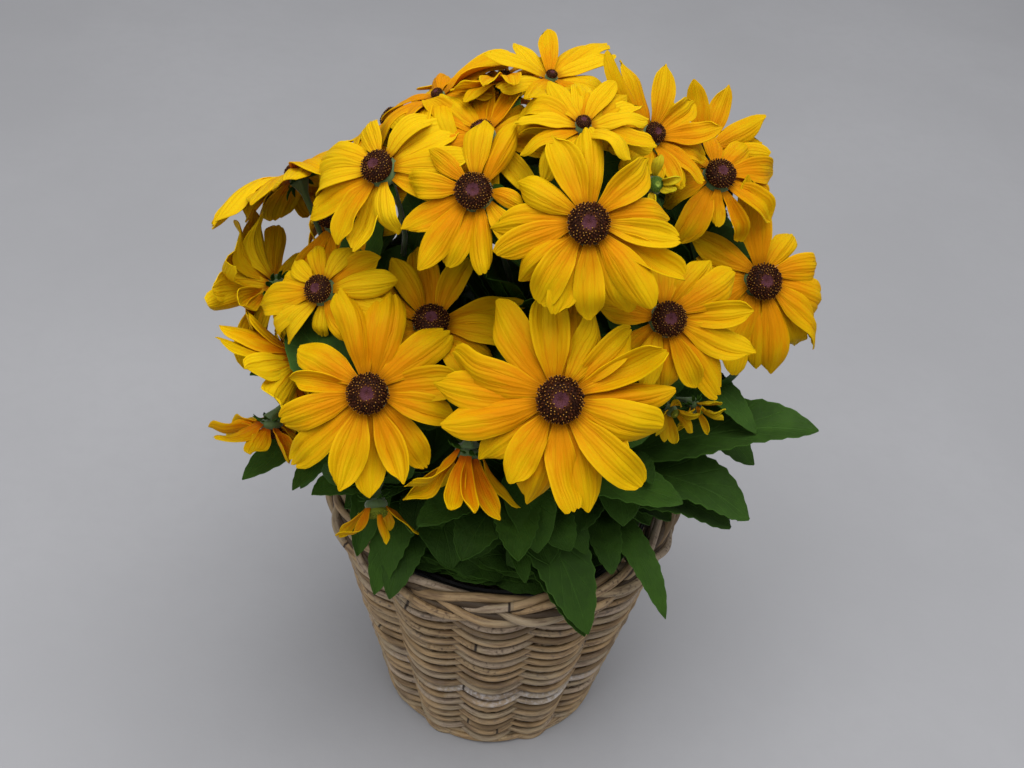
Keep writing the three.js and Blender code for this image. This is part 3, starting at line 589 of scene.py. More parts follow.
class Finish:
    """A material, with short calls that add nodes and join them."""

    def __init__(self, name, roughness, constants=()):
        self.material = bpy.data.materials.new(name)
        self.material.use_nodes = True
        self.tree = self.material.node_tree
        self.shader = self.tree.nodes["Principled BSDF"]
        self.shader.inputs["Roughness"].default_value = roughness
        for key, value in dict(constants).items():
            self.shader.inputs[key].default_value = value

    def add(self, kind, inputs=(), **settings):
        node = self.tree.nodes.new("ShaderNode" + kind)
        for key, value in settings.items():
            setattr(node, key, value)
        for key, value in dict(inputs).items():
            self.put(node.inputs[key], value)
        return node

    def put(self, socket, value):
        if isinstance(value, bpy.types.NodeSocket):
            self.tree.links.new(value, socket)
        else:
            socket.default_value = value

    def mark(self, name):
        """A point attribute of the piece."""
        return self.add("Attribute", attribute_name=name).outputs["Fac"]

    def uv(self):
        """The piece's own UV as (vector, across, along)."""
        vector = self.add("UVMap", uv_map="UVMap").outputs["UV"]
        split = self.add("SeparateXYZ", {"Vector": vector})
        return vector, split.outputs["X"], split.outputs["Y"]

    def place(self):
        return self.add("TexCoord").outputs["Object"]

    def stretch(self, vector, scale):
        return self.add("Mapping", {"Vector": vector, "Scale": scale}).outputs["Vector"]

    def noise(self, vector, scale, detail=3, roughness=0.55):
        inputs = {"Vector": vector, "Scale": scale, "Detail": detail, "Roughness": roughness}
        return self.add("TexNoise", inputs).outputs["Fac"]

    def math(self, operation, a, b=0.0, c=0.0, clamp=False):
        node = self.add("Math", operation=operation, use_clamp=clamp)
        for socket, value in zip(node.inputs, (a, b, c)):
            self.put(socket, value)
        return node.outputs["Value"]

    def spread(self, value, low, high, to_low=0.0, to_high=1.0):
        """Maps low…high of a value to to_low…to_high, held at both ends."""
        inputs = {"Value": value, "From Min": low, "From Max": high, "To Min": to_low, "To Max": to_high}
        return self.add("MapRange", inputs, interpolation_type="SMOOTHSTEP").outputs["Result"]

    def ramp(self, value, stops):
        node = self.add("ValToRGB", {"Fac": value})
        elements = node.color_ramp.elements
        while len(elements) < len(stops):
            elements.new(0.5)
        for element, (position, colour) in zip(elements, stops):
            element.position = position
            element.color = (*colour, 1)
        return node.outputs["Color"]

    def mix(self, share, a, b, blend="MIX"):
        node = self.add("Mix", data_type="RGBA", blend_type=blend)
        self.put(node.inputs["Factor"], share)
        for socket, value in zip([s for s in node.inputs if s.type == "RGBA"], (a, b)):
            self.put(socket, (*value, 1) if isinstance(value, tuple) else value)
        return next(s for s in node.outputs if s.type == "RGBA")

    def finish(self, colour, height=None, depth=0.1, bump=0.5):
        """Joins the colour and, where given, a height in units of depth metres."""
        self.put(self.shader.inputs["Base Color"], colour)
        if height is not None:
            inputs = {"Height": height, "Distance": depth, "Strength": bump}
            normal = self.add("Bump", inputs).outputs["Normal"]
            self.put(self.shader.inputs["Normal"], normal)
        return self.material


def from_middle(finish, across):
    """How far a place is from the middle of its blade: 0 in the middle, 1 at the edge."""
    return finish.math("ABSOLUTE", finish.math("MULTIPLY_ADD", across, 2.0, -1.0))


def ray_finish(name, back):
    """Golden petals: red-brown at the claw, orange, then yellow, with ribs, painted shade along the creases
    and a painted highlight along the edges.
    """
    finish = Finish(name, 0.62, {"Specular IOR Level": 0.04, "Subsurface Weight": 0.14})
    finish.shader.inputs["Subsurface Radius"].default_value = (0.004, 0.002, 0.0002)
    finish.shader.inputs["Subsurface Scale"].default_value = 0.5
    vector, across, along = finish.uv()
    shade = finish.mark("shade")
    green = finish.mark("green")
    fine = finish.noise(finish.stretch(vector, (30, 1.4, 1)), 1.0, 4)
    broad = finish.noise(finish.stretch(vector, (3.5, 2.2, 1)), 1.0, 2)
    ribs = finish.math("MULTIPLY_ADD", across, 50.0, finish.math("MULTIPLY", broad, 9.0))
    ribs = finish.spread(finish.math("SINE", ribs), -1.0, 1.0)
    shifted = finish.math("ADD", along, finish.spread(shade, 0, 1, -0.36, 0.26))
    shifted = finish.math("ADD", shifted, finish.spread(fine, 0.3, 0.7, -0.1, 0.1))
    shifted = finish.math("ADD", shifted, finish.spread(broad, 0.3, 0.7, -0.18, 0.18), clamp=True)
    props = bpy.context.scene.rudbeckia_rays
    base, tip = tuple(props.base_colour), tuple(props.tip_colour)
    middle = tuple(0.4 * a + 0.6 * b for a, b in zip(base, tip))
    colour = finish.ramp(shifted, [(0.05, base), (0.45, middle), (0.85, tip)])
    colour = finish.mix(finish.spread(shade, 0.55, 1.0, 0.0, 0.55), colour, PETAL_LEMON)
    colour = finish.mix(finish.math("MULTIPLY", ribs, 0.14), colour, PETAL_RIB)
    side = from_middle(finish, across)
    wander = finish.math("ADD", side, finish.spread(broad, 0.3, 0.7, -0.07, 0.07))
    crease = finish.math("ABSOLUTE", finish.math("SUBTRACT", wander, 0.36))
    line = finish.spread(crease, 0.0, 0.06, 1.0, 0.0)
    fade = finish.spread(along, 0.15, 0.75, 0.7, 0.04)
    # Painted shade: a dark line down each crease and a wider darker band round it, fading towards the tip
    colour = finish.mix(finish.math("MULTIPLY", line, fade), colour, PETAL_CREASE_SHADE)
    shadow = finish.math("MULTIPLY", finish.spread(crease, 0.0, 0.22, 0.4, 0.0), fade)
    colour = finish.mix(shadow, colour, PETAL_SHADOW)
    streak = finish.spread(fine, 0.52, 0.7, 0.0, 0.28)
    colour = finish.mix(streak, colour, PETAL_STREAK)
    # Painted highlight: a lighter yellow towards the petal's edges
    colour = finish.mix(finish.spread(side, 0.84, 1.0, 0.0, 0.4), colour, PETAL_EDGE_HIGHLIGHT)
    foot = finish.math("ADD", along, finish.spread(fine, 0.3, 0.7, -0.03, 0.03))
    claw = finish.spread(foot, 0.02, 0.15, 0.8, 0.0)
    colour = finish.mix(claw, colour, tuple(props.claw_colour))
    colour = finish.mix(finish.math("MULTIPLY", green, 0.75), colour, PETAL_GREEN)
    if back:
        colour = finish.mix(0.35, colour, PETAL_BACK)
    height = finish.math("MULTIPLY_ADD", line, -0.7, finish.math("MULTIPLY", fine, 0.8))
    height = finish.math("MULTIPLY_ADD", ribs, 0.55, height)
    return finish.finish(colour, height, 0.0007, 0.45)


def leaf_finish(name, back):
    """Leaves: dark green with a pale midrib, a few arching side veins and a fine pale edge."""
    finish = Finish(name, 0.6, {"Specular IOR Level": 0.06, "Subsurface Weight": 0.04})
    finish.shader.inputs["Subsurface Radius"].default_value = (0.001, 0.003, 0.0005)
    finish.shader.inputs["Subsurface Scale"].default_value = 0.4
    vector, across, along = finish.uv()
    shade = finish.mark("shade")
    props = bpy.context.scene.rudbeckia_leaves
    dark, bright = tuple(props.dark_colour), tuple(props.bright_colour)
    blotch = finish.noise(finish.place(), 90.0, 3)
    tone = finish.math("ADD", shade, finish.spread(blotch, 0.3, 0.7, -0.22, 0.22), clamp=True)
    colour = finish.mix(tone, dark, bright)
    # A greyish green mixed into the few leaves with the highest shade values
    colour = finish.mix(finish.spread(shade, 0.8, 0.95, 0.0, 0.45), colour, tuple(props.greyish_colour))
    side = from_middle(finish, across)
    rib = finish.spread(side, 0.0, 0.05, 1.0, 0.0)
    arch = finish.math("MULTIPLY", side, finish.math("MULTIPLY_ADD", side, 0.14, -0.42))
    saw = finish.math("PINGPONG", finish.math("ADD", along, arch), 0.075)
    vein = finish.spread(saw, 0.0, 0.012, 1.0, 0.0)
    vein = finish.math("MULTIPLY", vein, finish.spread(side, 0.7, 0.98, 1.0, 0.0))
    web = finish.add("TexVoronoi", {"Vector": finish.stretch(vector, (14, 30, 1)), "Scale": 1.0})
    web = web.outputs["Distance"]
    pale = tuple(min(1, c * 1.7 + 0.012) for c in bright)
    colour = finish.mix(finish.math("MULTIPLY", vein, 0.2), colour, pale)
    colour = finish.mix(finish.math("MULTIPLY", rib, 0.35), colour, pale)
    edge = finish.spread(side, 0.93, 1.0, 0.0, 0.5)
    colour = finish.mix(edge, colour, pale)
    if back:
        colour = finish.mix(0.4, colour, tuple(min(1, c * 1.3 + 0.015) for c in bright))
    height = finish.math("MULTIPLY_ADD", vein, -0.4, finish.math("MULTIPLY", web, 0.4))
    height = finish.math("MULTIPLY_ADD", rib, -0.6, height)
    return finish.finish(colour, height, 0.0012, 0.5)


def stem_finish():
    """Hairy green stems."""
    finish = Finish("stem_green", 0.6, {"Sheen Weight": 0.4})
    place = finish.place()
    fine = finish.noise(finish.stretch(place, (1, 1, 0.12)), 1400.0, 3)
    broad = finish.noise(place, 60.0, 2)
    colour = finish.mix(broad, (0.03, 0.07, 0.014), (0.09, 0.16, 0.03))
    return finish.finish(colour, fine, 0.0006, 0.5)


def cone_finish(kind):
    """Florets of a cone: brown and mauve when ripe, else green, with shades for each floret."""
    dark, middle, light = CONE_TONES[kind]
    finish = Finish(f"cone_{kind}", 0.7, {"Specular IOR Level": 0.12})
    fine = finish.noise(finish.place(), 1500.0, 2)
    colour = finish.ramp(finish.mark("shade"), [(0.0, dark), (0.6, middle), (1.0, light)])
    colour = finish.mix(finish.spread(fine, 0.3, 0.7, 0.0, 0.35), colour, dark)
    return finish.finish(colour, fine, 0.0004, 0.4)


def pollen_finish():
    finish = Finish("pollen_yellow", 0.75, {"Specular IOR Level": 0.1})
    colour = finish.mix(finish.mark("shade"), (0.2, 0.065, 0.006), (0.5, 0.26, 0.045))
    return finish.finish(colour)


def rattan_finish():
    """Rattan strands: tan and grey-brown rods with fibres, pale wash and dark joints; the same dark mark
    gives the border's core near-black painted shade.
    """
    finish = Finish("rattan_strand", 0.55, {"Specular IOR Level": 0.3})
    vector = finish.uv()[0]
    shade = finish.mark("shade")
    props = bpy.context.scene.rudbeckia_basket
    tan, grey = tuple(props.tan_colour), tuple(props.grey_colour)
    offset = finish.add("CombineXYZ", {"X": finish.math("MULTIPLY", shade, 60.0), "Z": shade}).outputs[0]
    own = finish.add("VectorMath", {0: vector, 1: offset}, operation="ADD").outputs["Vector"]
    fibre = finish.noise(finish.stretch(own, (40, 9, 1)), 1.0, 5, 0.65)
    patch = finish.noise(finish.stretch(own, (12, 1, 1)), 1.0, 3)
    speck = finish.noise(finish.place(), 420.0, 3)
    tone = finish.math("ADD", shade, finish.spread(patch, 0.3, 0.7, -0.35, 0.35), clamp=True)
    brown = tuple(c * 0.5 for c in tan)
    pale = tuple(0.7 * c + 0.12 for c in tan)
    colour = finish.ramp(tone, [(0.0, brown), (0.28, tan), (0.72, grey), (1.0, pale)])
    colour = finish.mix(finish.spread(fibre, 0.42, 0.72, 0.0, 0.75), colour, (0.09, 0.045, 0.025))
    dirt = finish.spread(patch, 0.48, 0.62, 0.0, 0.8)
    dirt = finish.math("MULTIPLY", finish.spread(speck, 0.5, 0.7), dirt)
    colour = finish.mix(dirt, colour, (0.05, 0.024, 0.014))
    wash = finish.math("MULTIPLY", finish.spread(speck, 0.4, 0.7, 0.25, 1.0), finish.mark("wash"))
    colour = finish.mix(wash, colour, tuple(props.wash_colour))
    # Dark marks at the rods' joints, and near black on the border's core as painted shade between the rods
    joint_and_core_shade = finish.spread(finish.mark("joint_and_core_shade"), 0.55, 0.9, 0.0, 0.97)
    colour = finish.mix(joint_and_core_shade, colour, (0.02, 0.012, 0.008))
    height = finish.math("SUBTRACT", finish.math("MULTIPLY", speck, 0.3), fibre)
    return finish.finish(colour, height, 0.0006, 0.5)


def soil_finish():
    finish = Finish("compost", 0.95)
    crumb = finish.noise(finish.place(), 260.0, 5, 0.7)
    colour = finish.mix(crumb, (0.008, 0.006, 0.004), (0.06, 0.04, 0.026))
    return finish.finish(colour, crumb, 0.002, 0.9)


def pot_finish():
    finish = Finish("pot_plastic_black", 0.42)
    dust = finish.noise(finish.place(), 45.0, 4)
    grain = finish.noise(finish.place(), 900.0, 2)
    dusty = finish.spread(dust, 0.45, 0.75, 0.0, 0.4)
    colour = finish.mix(dusty, (0.012, 0.012, 0.013), (0.05, 0.047, 0.043))
    return finish.finish(colour, grain, 0.0003, 0.2)


def floor_finish(tone):
    finish = Finish("pale_floor", 0.85, {"Specular IOR Level": 0.2})
    cloud = finish.noise(finish.place(), 3.0, 4)
    grain = finish.noise(finish.place(), 60.0, 4)
    low = tuple(c * 0.93 for c in tone)
    colour = finish.mix(finish.spread(cloud, 0.3, 0.7), low, tone)
    colour = finish.mix(finish.spread(grain, 0.4, 0.7, 0.0, 0.25), colour, low)
    return finish.finish(colour, grain, 0.002, 0.15)


# Blooms


def ray_width(share, blunt):
    """The width of a petal at a share of its length, between a pointed and a blunt form."""
    places, pointed, rounded = np.array(RAY_WIDTHS).T
    return np.interp(share, places, pointed * (1 - blunt) + rounded * blunt)


def ray_fit(blade, sheet, rand, form):
    """The points of one petal: two soft creases, a narrow claw, its own tip, cup, twist and curl.

    form holds how broad the petal is, how wilted, and how far in it starts, as shares.
    """
    broad, wilted, inwards = form
    x, v = sheet[:, 0], sheet[:, 1]
    edge = 2 * x
    blunt = rand.random() ** 1.4
    rolled = rand.random() < 0.12 + 0.4 * wilted
    half = blade.half * ray_width(v, blunt) * (0.8 if rolled else rand.uniform(0.94, 1.2)) * broad
    body = smooth_step(0.02, 0.3, v)
    late = smooth_step(0.55, 1, v)
    crease = rand.uniform(0.05, 0.16) * np.exp(-(((np.abs(edge) - 0.36) / 0.17) ** 2))
    ends = rand.uniform(0.02, 0.07) * edge**2 + blunt * rand.uniform(0, 0.6) * crease
    along = v * (1.03 + inwards) - inwards - late * (ends - rand.uniform(-0.06, 0.06) * edge)
    cup = rand.choice((-1.0, 0.9)) if rolled else rand.uniform(-0.6, 0.45)
    ruffle = rand.uniform(0.04, 0.16) * np.sin(v * rand.uniform(6, 12) + rand.uniform(0, 6))
    curl = min(0.8, max(-1.5, rand.gauss(-0.25, 0.55 + wilted))) * late**1.5
    bow = rand.uniform(-0.3, 0.35) * np.sin(np.pi * v)
    lift = half * (cup * (edge**2 - 0.3) - crease) * body
    lift = lift + blade.half * (ruffle * edge * np.abs(edge) + curl + bow) * body
    twist = math.radians(rand.gauss(0, 17 + 30 * wilted)) * smooth_step(0.1, 1, v)
    sweep = rand.uniform(-0.7, 0.7) * (1 + wilted) * blade.half * v**2
    across = half * edge * np.cos(twist) - lift * np.sin(twist) + sweep
    lift = half * edge * np.sin(twist) + lift * np.cos(twist)
    return blade.lay(across, along, lift - PETAL_SINK)


def ray_form(name, bloom, scale):
    """How broad and how wilted a bloom's petals are, and how far inside their roots they start."""
    broad = 1.25 if name in BARE_BLOOMS else 0.66 if name in ORANGE_BLOOMS else 1.0
    gap = bloom["radius"] * (1 - scale)
    return broad, 0.6 if name in WILTED_BLOOMS else 0.0, gap / bloom["reach"]


def second_layer(bloom, rand):
    """Petals behind every other gap of a bloom."""
    step = 2 * math.pi / len(bloom["rays"])
    return [
        ray.turned(bloom["middle"], bloom["out"], step * rand.uniform(0.4, 0.6), LAYER_SINK)
        for ray in bloom["rays"][::2]
    ]


def model_petals(name, bloom, scale, pattern, rand):
    """A bloom's petals, in one layer round the full cone of a large or young bloom, else in two."""
    full_cone = name not in SMALL_CONES and (own_cone(name) or name in CONE_KINDS)
    single = full_cone or name in SINGLE_BLOOMS
    layers = bloom["rays"] + ([] if single else second_layer(bloom, rand))
    form = ray_form(name, bloom, scale)
    fits = [ray_fit(ray, points_of(pattern), rand, form) for ray in layers]
    tint = LEMON_TINT if name in LEMON_BLOOMS else ORANGE_TINT if name in ORANGE_BLOOMS else PETAL_TINT
    shades = [min(1, max(0, tint + rand.uniform(-0.3, 0.3))) for _ in fits]
    greens = [GREENISH_BLOOMS.get(name, 0.0) * rand.uniform(0.4, 1) for _ in fits]
    return copies(f"{name}_petals", pattern, fits, {"shade": shades, "green": greens})


def bloom_frame(bloom):
    """The directions right and up in the plane of a bloom."""
    right = unit(np.cross([0.013, 0.021, 1.0], bloom["out"]))
    return right, np.cross(bloom["out"], right)


def on_bloom(bloom, points):
    """Points of an upright shape, brought on to a bloom's middle and the way it faces."""
    right, up = bloom_frame(bloom)
    return points @ np.column_stack([right, up, bloom["out"]]).T + bloom["middle"]


def cone_point(share):
    """Radius and height on the cone's profile at a share of the way from its top to its foot."""
    reach = np.linspace(0, 1, len(CONE_PROFILE))
    radii, heights = zip(*CONE_PROFILE)
    return np.interp(share, reach, radii), np.interp(share, reach, heights)


def model_dome(name, segments, rings):
    """A ball whose points are drawn on to the cone's profile, one unit in radius."""
    add = bpy.ops.mesh.primitive_uv_sphere_add
    ball = start_primitive(add, name, segments=segments, ring_count=rings, radius=1)
    points = points_of(ball)
    turn = np.arctan2(points[:, 1], points[:, 0])
    share = np.arccos(np.clip(points[:, 2], -1, 1)) / math.pi
    radius, height = cone_point(share)
    move_points(ball, np.column_stack([radius * np.cos(turn), radius * np.sin(turn), height]))
    return ball


def dome_tint(points):
    """The dome's shade: light round its smooth middle, dark under the open florets, and a little darker at
    its very centre as painted shade in the dimple.
    """
    aside = np.hypot(points[:, 0], points[:, 1])
    tint = np.where(points[:, 2] > 0.5, 1 - 0.85 * smooth_step(0.31, 0.52, aside), 0.2)
    # Painted shade: a quarter darker in the dimple at the very centre
    return tint * (0.75 + 0.25 * smooth_step(0.0, 0.16, aside))


def floret_places(count, radius, rand):
    """For each floret: its share from top to foot, its point and the way it stands, on a unit axis."""
    for i in range(count):
        share = FLORET_REACH * math.sqrt((i + 0.5) / count)
        turn = i * GOLDEN_ANGLE
        r, h = cone_point(share)
        r2, h2 = cone_point(share + 0.02)
        tilt = math.atan2(-(h2 - h), max(r2 - r, 1e-6)) if share > 0.2 else 0.0
        lean = np.array([math.cos(turn) * math.sin(tilt), math.sin(turn) * math.sin(tilt), math.cos(tilt)])
        point = np.array([math.cos(turn) * r, math.sin(turn) * r, h]) * radius
        jitter = np.array([rand.uniform(-0.15, 0.15) for _ in range(3)])
        yield share / FLORET_REACH, point, unit(lean + jitter)


def stand(points, place, direction, width, height):
    """Points of an upright shape, stood at a place along a direction."""
    side = unit(np.cross(direction, [0.31, 0.17, 0.9]))
    other = np.cross(direction, side)
    spread = side * points[:, :1] * width + other * points[:, 1:2] * width
    return place + spread + direction * points[:, 2:3] * height


def model_cone(name, bloom, scale, patterns, rand, finishes):
    """A cone: the dome, florets in spirals, and pollen on the open ones round its smooth middle."""
    dome, floret, grain = patterns
    kind = CONE_KINDS.get(name, "ripe")
    radius = bloom["radius"] * CONE_SCALE * scale
    dome_points, floret_points, grain_points = points_of(dome), points_of(floret), points_of(grain)
    fit = on_bloom(bloom, dome_points * radius)
    base = copies(f"{name}_disc", dome, [fit], {"shade": [dome_tint(dome_points)]})
    fits, shades, grains, grain_shades = [], [], [], []
    count = int(120 + 12 * radius / MM)
    for share, point, lean in floret_places(count, radius, rand):
        opened = share > OPEN_SHARE
        size = radius * (0.1 if opened else 0.07)
        tall = radius * (rand.uniform(0.14, 0.32) if opened else 0.035)
        fits.append(on_bloom(bloom, stand(floret_points, point, lean, size, tall)))
        shades.append(rand.uniform(0.0, 0.6) if opened else rand.uniform(0.8, 1))
        if opened and rand.random() < POLLEN_CHANCE:
            tip = point + lean * tall / 2
            grain_size = radius * POLLEN_SIZE
            grains.append(on_bloom(bloom, stand(grain_points, tip, lean, grain_size, grain_size)))
            grain_shades.append(rand.random())
    crowd = copies("florets", floret, fits, {"shade": shades})
    shade_smooth(base)
    parts = [base, crowd]
    if kind == "ripe":
        parts.append(copies("pollen", grain, grains, {"shade": grain_shades}))
    for part in parts:
        paint(part, finishes[kind], finishes["pollen"])
    for dust in parts[2:]:
        dust.data.polygons.foreach_set("material_index", np.ones(len(dust.data.polygons), np.int32))
    return join(parts, f"{name}_disc")


def model_hub(bloom, scale, pattern, finish):
    """The green hub that holds the petals' roots and sinks into the top of the stalk."""
    radius = bloom["radius"] * (ROOT_SHARE - 1 + scale) + ROOT_COVER
    points = points_of(pattern) * [-radius, radius, -HUB_DEPTH] + [0, 0, HUB_RISE]
    hub = copies("hub", pattern, [on_bloom(bloom, points)], {"shade": [HUB_SHADE]})
    shade_smooth(hub)
    paint(hub, finish)
    return hub


def bract_blades(bloom, rand):
    """The green bracts behind a bloom, in a star that bends back a little."""
    right, up = bloom_frame(bloom)
    blades = []
    for i in range(BRACTS):
        turn = (i + rand.uniform(-0.2, 0.2)) / BRACTS * 2 * math.pi
        outward = right * math.cos(turn) + up * math.sin(turn)
        long = bloom["radius"] * rand.uniform(1.0, 1.45)
        behind = bloom["out"] * HUB_THICK * (1.35 + 0.3 * (i % 2))
        start = bloom["middle"] + outward * bloom["radius"] * 0.35 - behind
        bend = rand.uniform(0.15, 0.5) * long
        over = start + outward * long * 0.55 - bloom["out"] * bend * 0.2
        end = start + outward * long - bloom["out"] * bend
        blades.append(Blade([0, 0.5, 1], [start, over, end], [bloom["out"]] * 3, long * 0.17, 2))
    return blades


def model_bracts(name, bloom, pattern, rand, finish, thickness):
    """A bract on each of its blades."""
    fits = [leaf_fit(blade, points_of(pattern), rand, 1) for blade in bract_blades(bloom, rand)]
    shades = [rand.uniform(0.3, 0.7) for _ in fits]
    bracts = copies(f"{name}_bracts", pattern, fits, {"shade": shades})
    paint(bracts, finish)
    apply_modifier(bracts, "SOLIDIFY", thickness=thickness, offset=-1)
    shade_smooth(bracts, PETAL_ANGLE)
    return bracts


# Leaves and stems


def leaf_fit(blade, sheet, rand, teeth):
    """The points of one leaf: a stalk, a toothed edge, a sunk midrib and its own waves."""
    x, v = sheet[:, 0], sheet[:, 1]
    edge = 2 * x
    places, widths = np.array(LEAF_WIDTHS).T
    width = np.interp(v, places, widths)
    saw = (v * teeth + TOOTH_START) % 1
    jag = 1 + TOOTH_DEPTH * (saw - 0.5) * smooth_step(0.25, 0.4, v) * np.abs(edge) ** 4
    across = x * 2 * blade.half * width * jag
    fold = rand.uniform(0.08, 0.4)
    wave = rand.uniform(0.03, 0.1) * np.sin(v * rand.uniform(6, 12) + rand.uniform(0, 6)) * edge**2
    quilt = 0.03 * np.sin((v - np.abs(edge) * 0.36) * (20 + 2 * teeth)) * np.abs(edge) * (1 - edge**4)
    droop = rand.uniform(-0.5, 0.1) * smooth_step(0.6, 1, v) ** 2
    lift = blade.half * (fold * (np.abs(edge) ** 1.3) * width + wave + quilt + droop)
    return blade.lay(across, v, lift)


def in_front_of_bloom(points, blooms, depth):
    """Whether any of the points lies among the rays of a bloom or less than depth before its face."""
    for bloom in blooms:
        away = points - bloom["middle"]
        height = away @ bloom["out"]
        aside = np.linalg.norm(away - np.outer(height, bloom["out"]), axis=1)
        near = (height > -BEHIND_RAYS) & (height < depth) & (aside < bloom["reach"])
        if near.any():
            return True
    return False


def heading(turn, rise):
    """A direction from its turn about the plant and its rise."""
    return np.array([math.cos(turn) * math.cos(rise), math.sin(turn) * math.cos(rise), math.sin(rise)])


def leaf_blade(base, away, up, long, rand):
    """A small leaf's line from its base, arching towards up, and its half width."""
    tip = base + away * long
    middle = (base + tip) / 2 + up * rand.uniform(0.08, 0.24) * long
    up = unit(up - away * (up @ away))
    return Blade([0, 0.5, 1], [base, middle, tip], [up] * 3, long * rand.uniform(0.24, 0.32), 2)


def leaf_has_room(blade, blooms, depth):
    """Whether a small leaf stays inside the plant's box, off the rim and behind the blooms."""
    low, high = Vector(CAD_BOX[0]), Vector(CAD_BOX[1])
    line = blade.at(np.array([0.25, 0.5, 0.75, 1]))[0]
    tip = line[-1]
    inside = all(low[k] + BOX_MARGIN < tip[k] < high[k] - BOX_MARGIN for k in range(3))
    off_rim = math.hypot(tip[0], tip[1]) < RIM_INSIDE or tip[2] > RIM_CLEAR
    return inside and off_rim and tip[2] > LOWEST_TIP and not in_front_of_bloom(line, blooms, depth)


def filler_leaves(name, blooms, rand, count):
    """Smaller leaves up a main stem."""
    leaves = []
    for attempt in range(count * 20):
        base = stem_line(name, rand.random())
        turn = attempt * GOLDEN_ANGLE + rand.uniform(-0.3, 0.3)
        away = heading(turn, math.radians(rand.uniform(-12, 50)))
        leaf = leaf_blade(base, away, UPWARDS, rand.uniform(34, 66) * MM, rand)
        if len(leaves) < count and leaf_has_room(leaf, blooms, FILLER_CLEAR):
            leaves.append(leaf)
    return leaves


def low_leaves(blooms, rand, count):
    """Leaves from the feet of the stems, most of them in front, which hide the soil."""
    leaves = []
    for attempt in range(count * 16):
        front = attempt % 2
        turn = -math.pi / 2 + rand.gauss(0, 0.5 if front else 1.4)
        out = rand.uniform(62 if front else 34, 84) * MM
        base = np.array([math.cos(turn) * out, math.sin(turn) * out, rand.uniform(177, 190) * MM])
        aim = turn + rand.choice((-1, 1)) * rand.uniform(1.2 if front else 0.5, 2.2)
        away = heading(aim, math.radians(rand.uniform(-2, 30)))
        up = unit(UPWARDS + heading(turn, 0) * rand.uniform(0, 0.6))
        leaf = leaf_blade(base, away, up, rand.uniform(30, 58) * MM, rand)
        if len(leaves) < count and leaf_has_room(leaf, blooms, LOW_CLEAR):
            leaves.append(leaf)
    return leaves


def backing_leaves(bloom, stalks, blooms, rand, count):
    """Leaves on the stalks behind a bloom, spread as it is, which close the gaps round it."""
    right, up = bloom_frame(bloom)
    leaves = []
    for attempt in range(count * 16):
        behind = bloom["middle"] - bloom["out"] * rand.uniform(22, 56) * MM
        base = stalks[np.argmin(np.linalg.norm(stalks - behind, axis=1))]
        turn = attempt * GOLDEN_ANGLE + rand.uniform(-0.3, 0.3)
        away = unit(right * math.cos(turn) + up * math.sin(turn) - bloom["out"] * rand.uniform(-0.1, 0.5))
        leaf = leaf_blade(base, away, bloom["out"], rand.uniform(38, 62) * MM, rand)
        if len(leaves) < count and leaf_has_room(leaf, blooms, BACKING_CLEAR):
            leaves.append(leaf)
    return leaves


def leaf_copies(name, sheet, blades, rand, teeth, bias):
    """A leaf on each blade, with shades drawn from the beta distribution that bias gives."""
    fits = [leaf_fit(blade, points_of(sheet), rand, teeth) for blade in blades]
    shades = [rand.betavariate(*bias) for _ in fits]
    return copies(name, sheet, fits, {"shade": shades})


def smooth_stem(node, blade_points):
    """A rounded copy of a stem node without the blades of its leaves."""
    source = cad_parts[node]
    stem = bpy.data.objects.new(f"{node}_stalks", source.data.copy())
    bpy.context.scene.collection.objects.link(stem)
    activate(stem)
    bpy.ops.object.mode_set(mode="EDIT")
    bpy.ops.mesh.select_all(action="SELECT")
    bpy.ops.mesh.remove_doubles(threshold=WELD)
    bpy.ops.mesh.select_all(action="DESELECT")
    bpy.ops.object.mode_set(mode="OBJECT")
    points = points_of(stem)
    away = np.min(np.linalg.norm(points[:, None] - blade_points[None], axis=2), axis=1)
    stem.data.vertices.foreach_set("select", away < 2 * WELD)
    bpy.ops.object.mode_set(mode="EDIT")
    bpy.ops.mesh.delete(type="VERT")
    bpy.ops.mesh.select_all(action="SELECT")
    bpy.ops.mesh.fill_holes(sides=0)
    bpy.ops.mesh.quads_convert_to_tris()
    bpy.ops.mesh.normals_make_consistent(inside=False)
    bpy.ops.object.mode_set(mode="OBJECT")
    apply_modifier(stem, "SUBSURF", levels=1, render_levels=1)
    shade_smooth(stem)
    return stem


# Basket


def model_strand(name, turns, sides):
    """A thin ring, whose UV runs along it and round it, to be laid as strands."""
    return start_primitive(
        bpy.ops.mesh.primitive_torus_add,
        name,
        major_segments=turns,
        minor_segments=sides,
        major_radius=1,
        minor_radius=0.25,
        generate_uvs=True,
    )


def strand_angles(pattern):
    """For each point of the ring: its angle along it and its angle round it."""
    points = points_of(pattern)
    turn = np.arctan2(points[:, 1], points[:, 0])
    out = np.hypot(points[:, 0], points[:, 1]) - 1
    return turn, np.arctan2(points[:, 2], out)


def lay_strand(turn, round_, radius, z, wide, tall):
    """The points of a strand: its line's radius and height, and its section's half sizes."""
    out = radius + wide * np.cos(round_)
    return np.column_stack([out * np.sin(turn), -out * np.cos(turn), z + tall * np.sin(round_)])


def strand_marks(turn, rand, rods):
    """The shade of each rod that makes up a ring, and dark marks at some of its joints."""
    joints = sorted(rand.uniform(-math.pi, math.pi) for _ in range(rods))
    shades = [rand.random() for _ in range(rods)]
    part = np.searchsorted(joints, turn) % rods
    shade = np.array(shades)[part]
    mark = np.zeros(len(turn))
    for place in joints:
        away = np.abs((turn - place + math.pi) % (2 * math.pi) - math.pi)
        if rand.random() < JOINT_CHANCE:
            mark[away < away.min() + WELD] = 1
    return shade, mark


def lay_rings(name, pattern, fits, marks, finish):
    """One smooth piece of all the strands, which uses up their pattern."""
    rings = copies(name, pattern, fits, marks)
    discard(pattern)
    shade_smooth(rings)
    paint(rings, finish)
    return rings


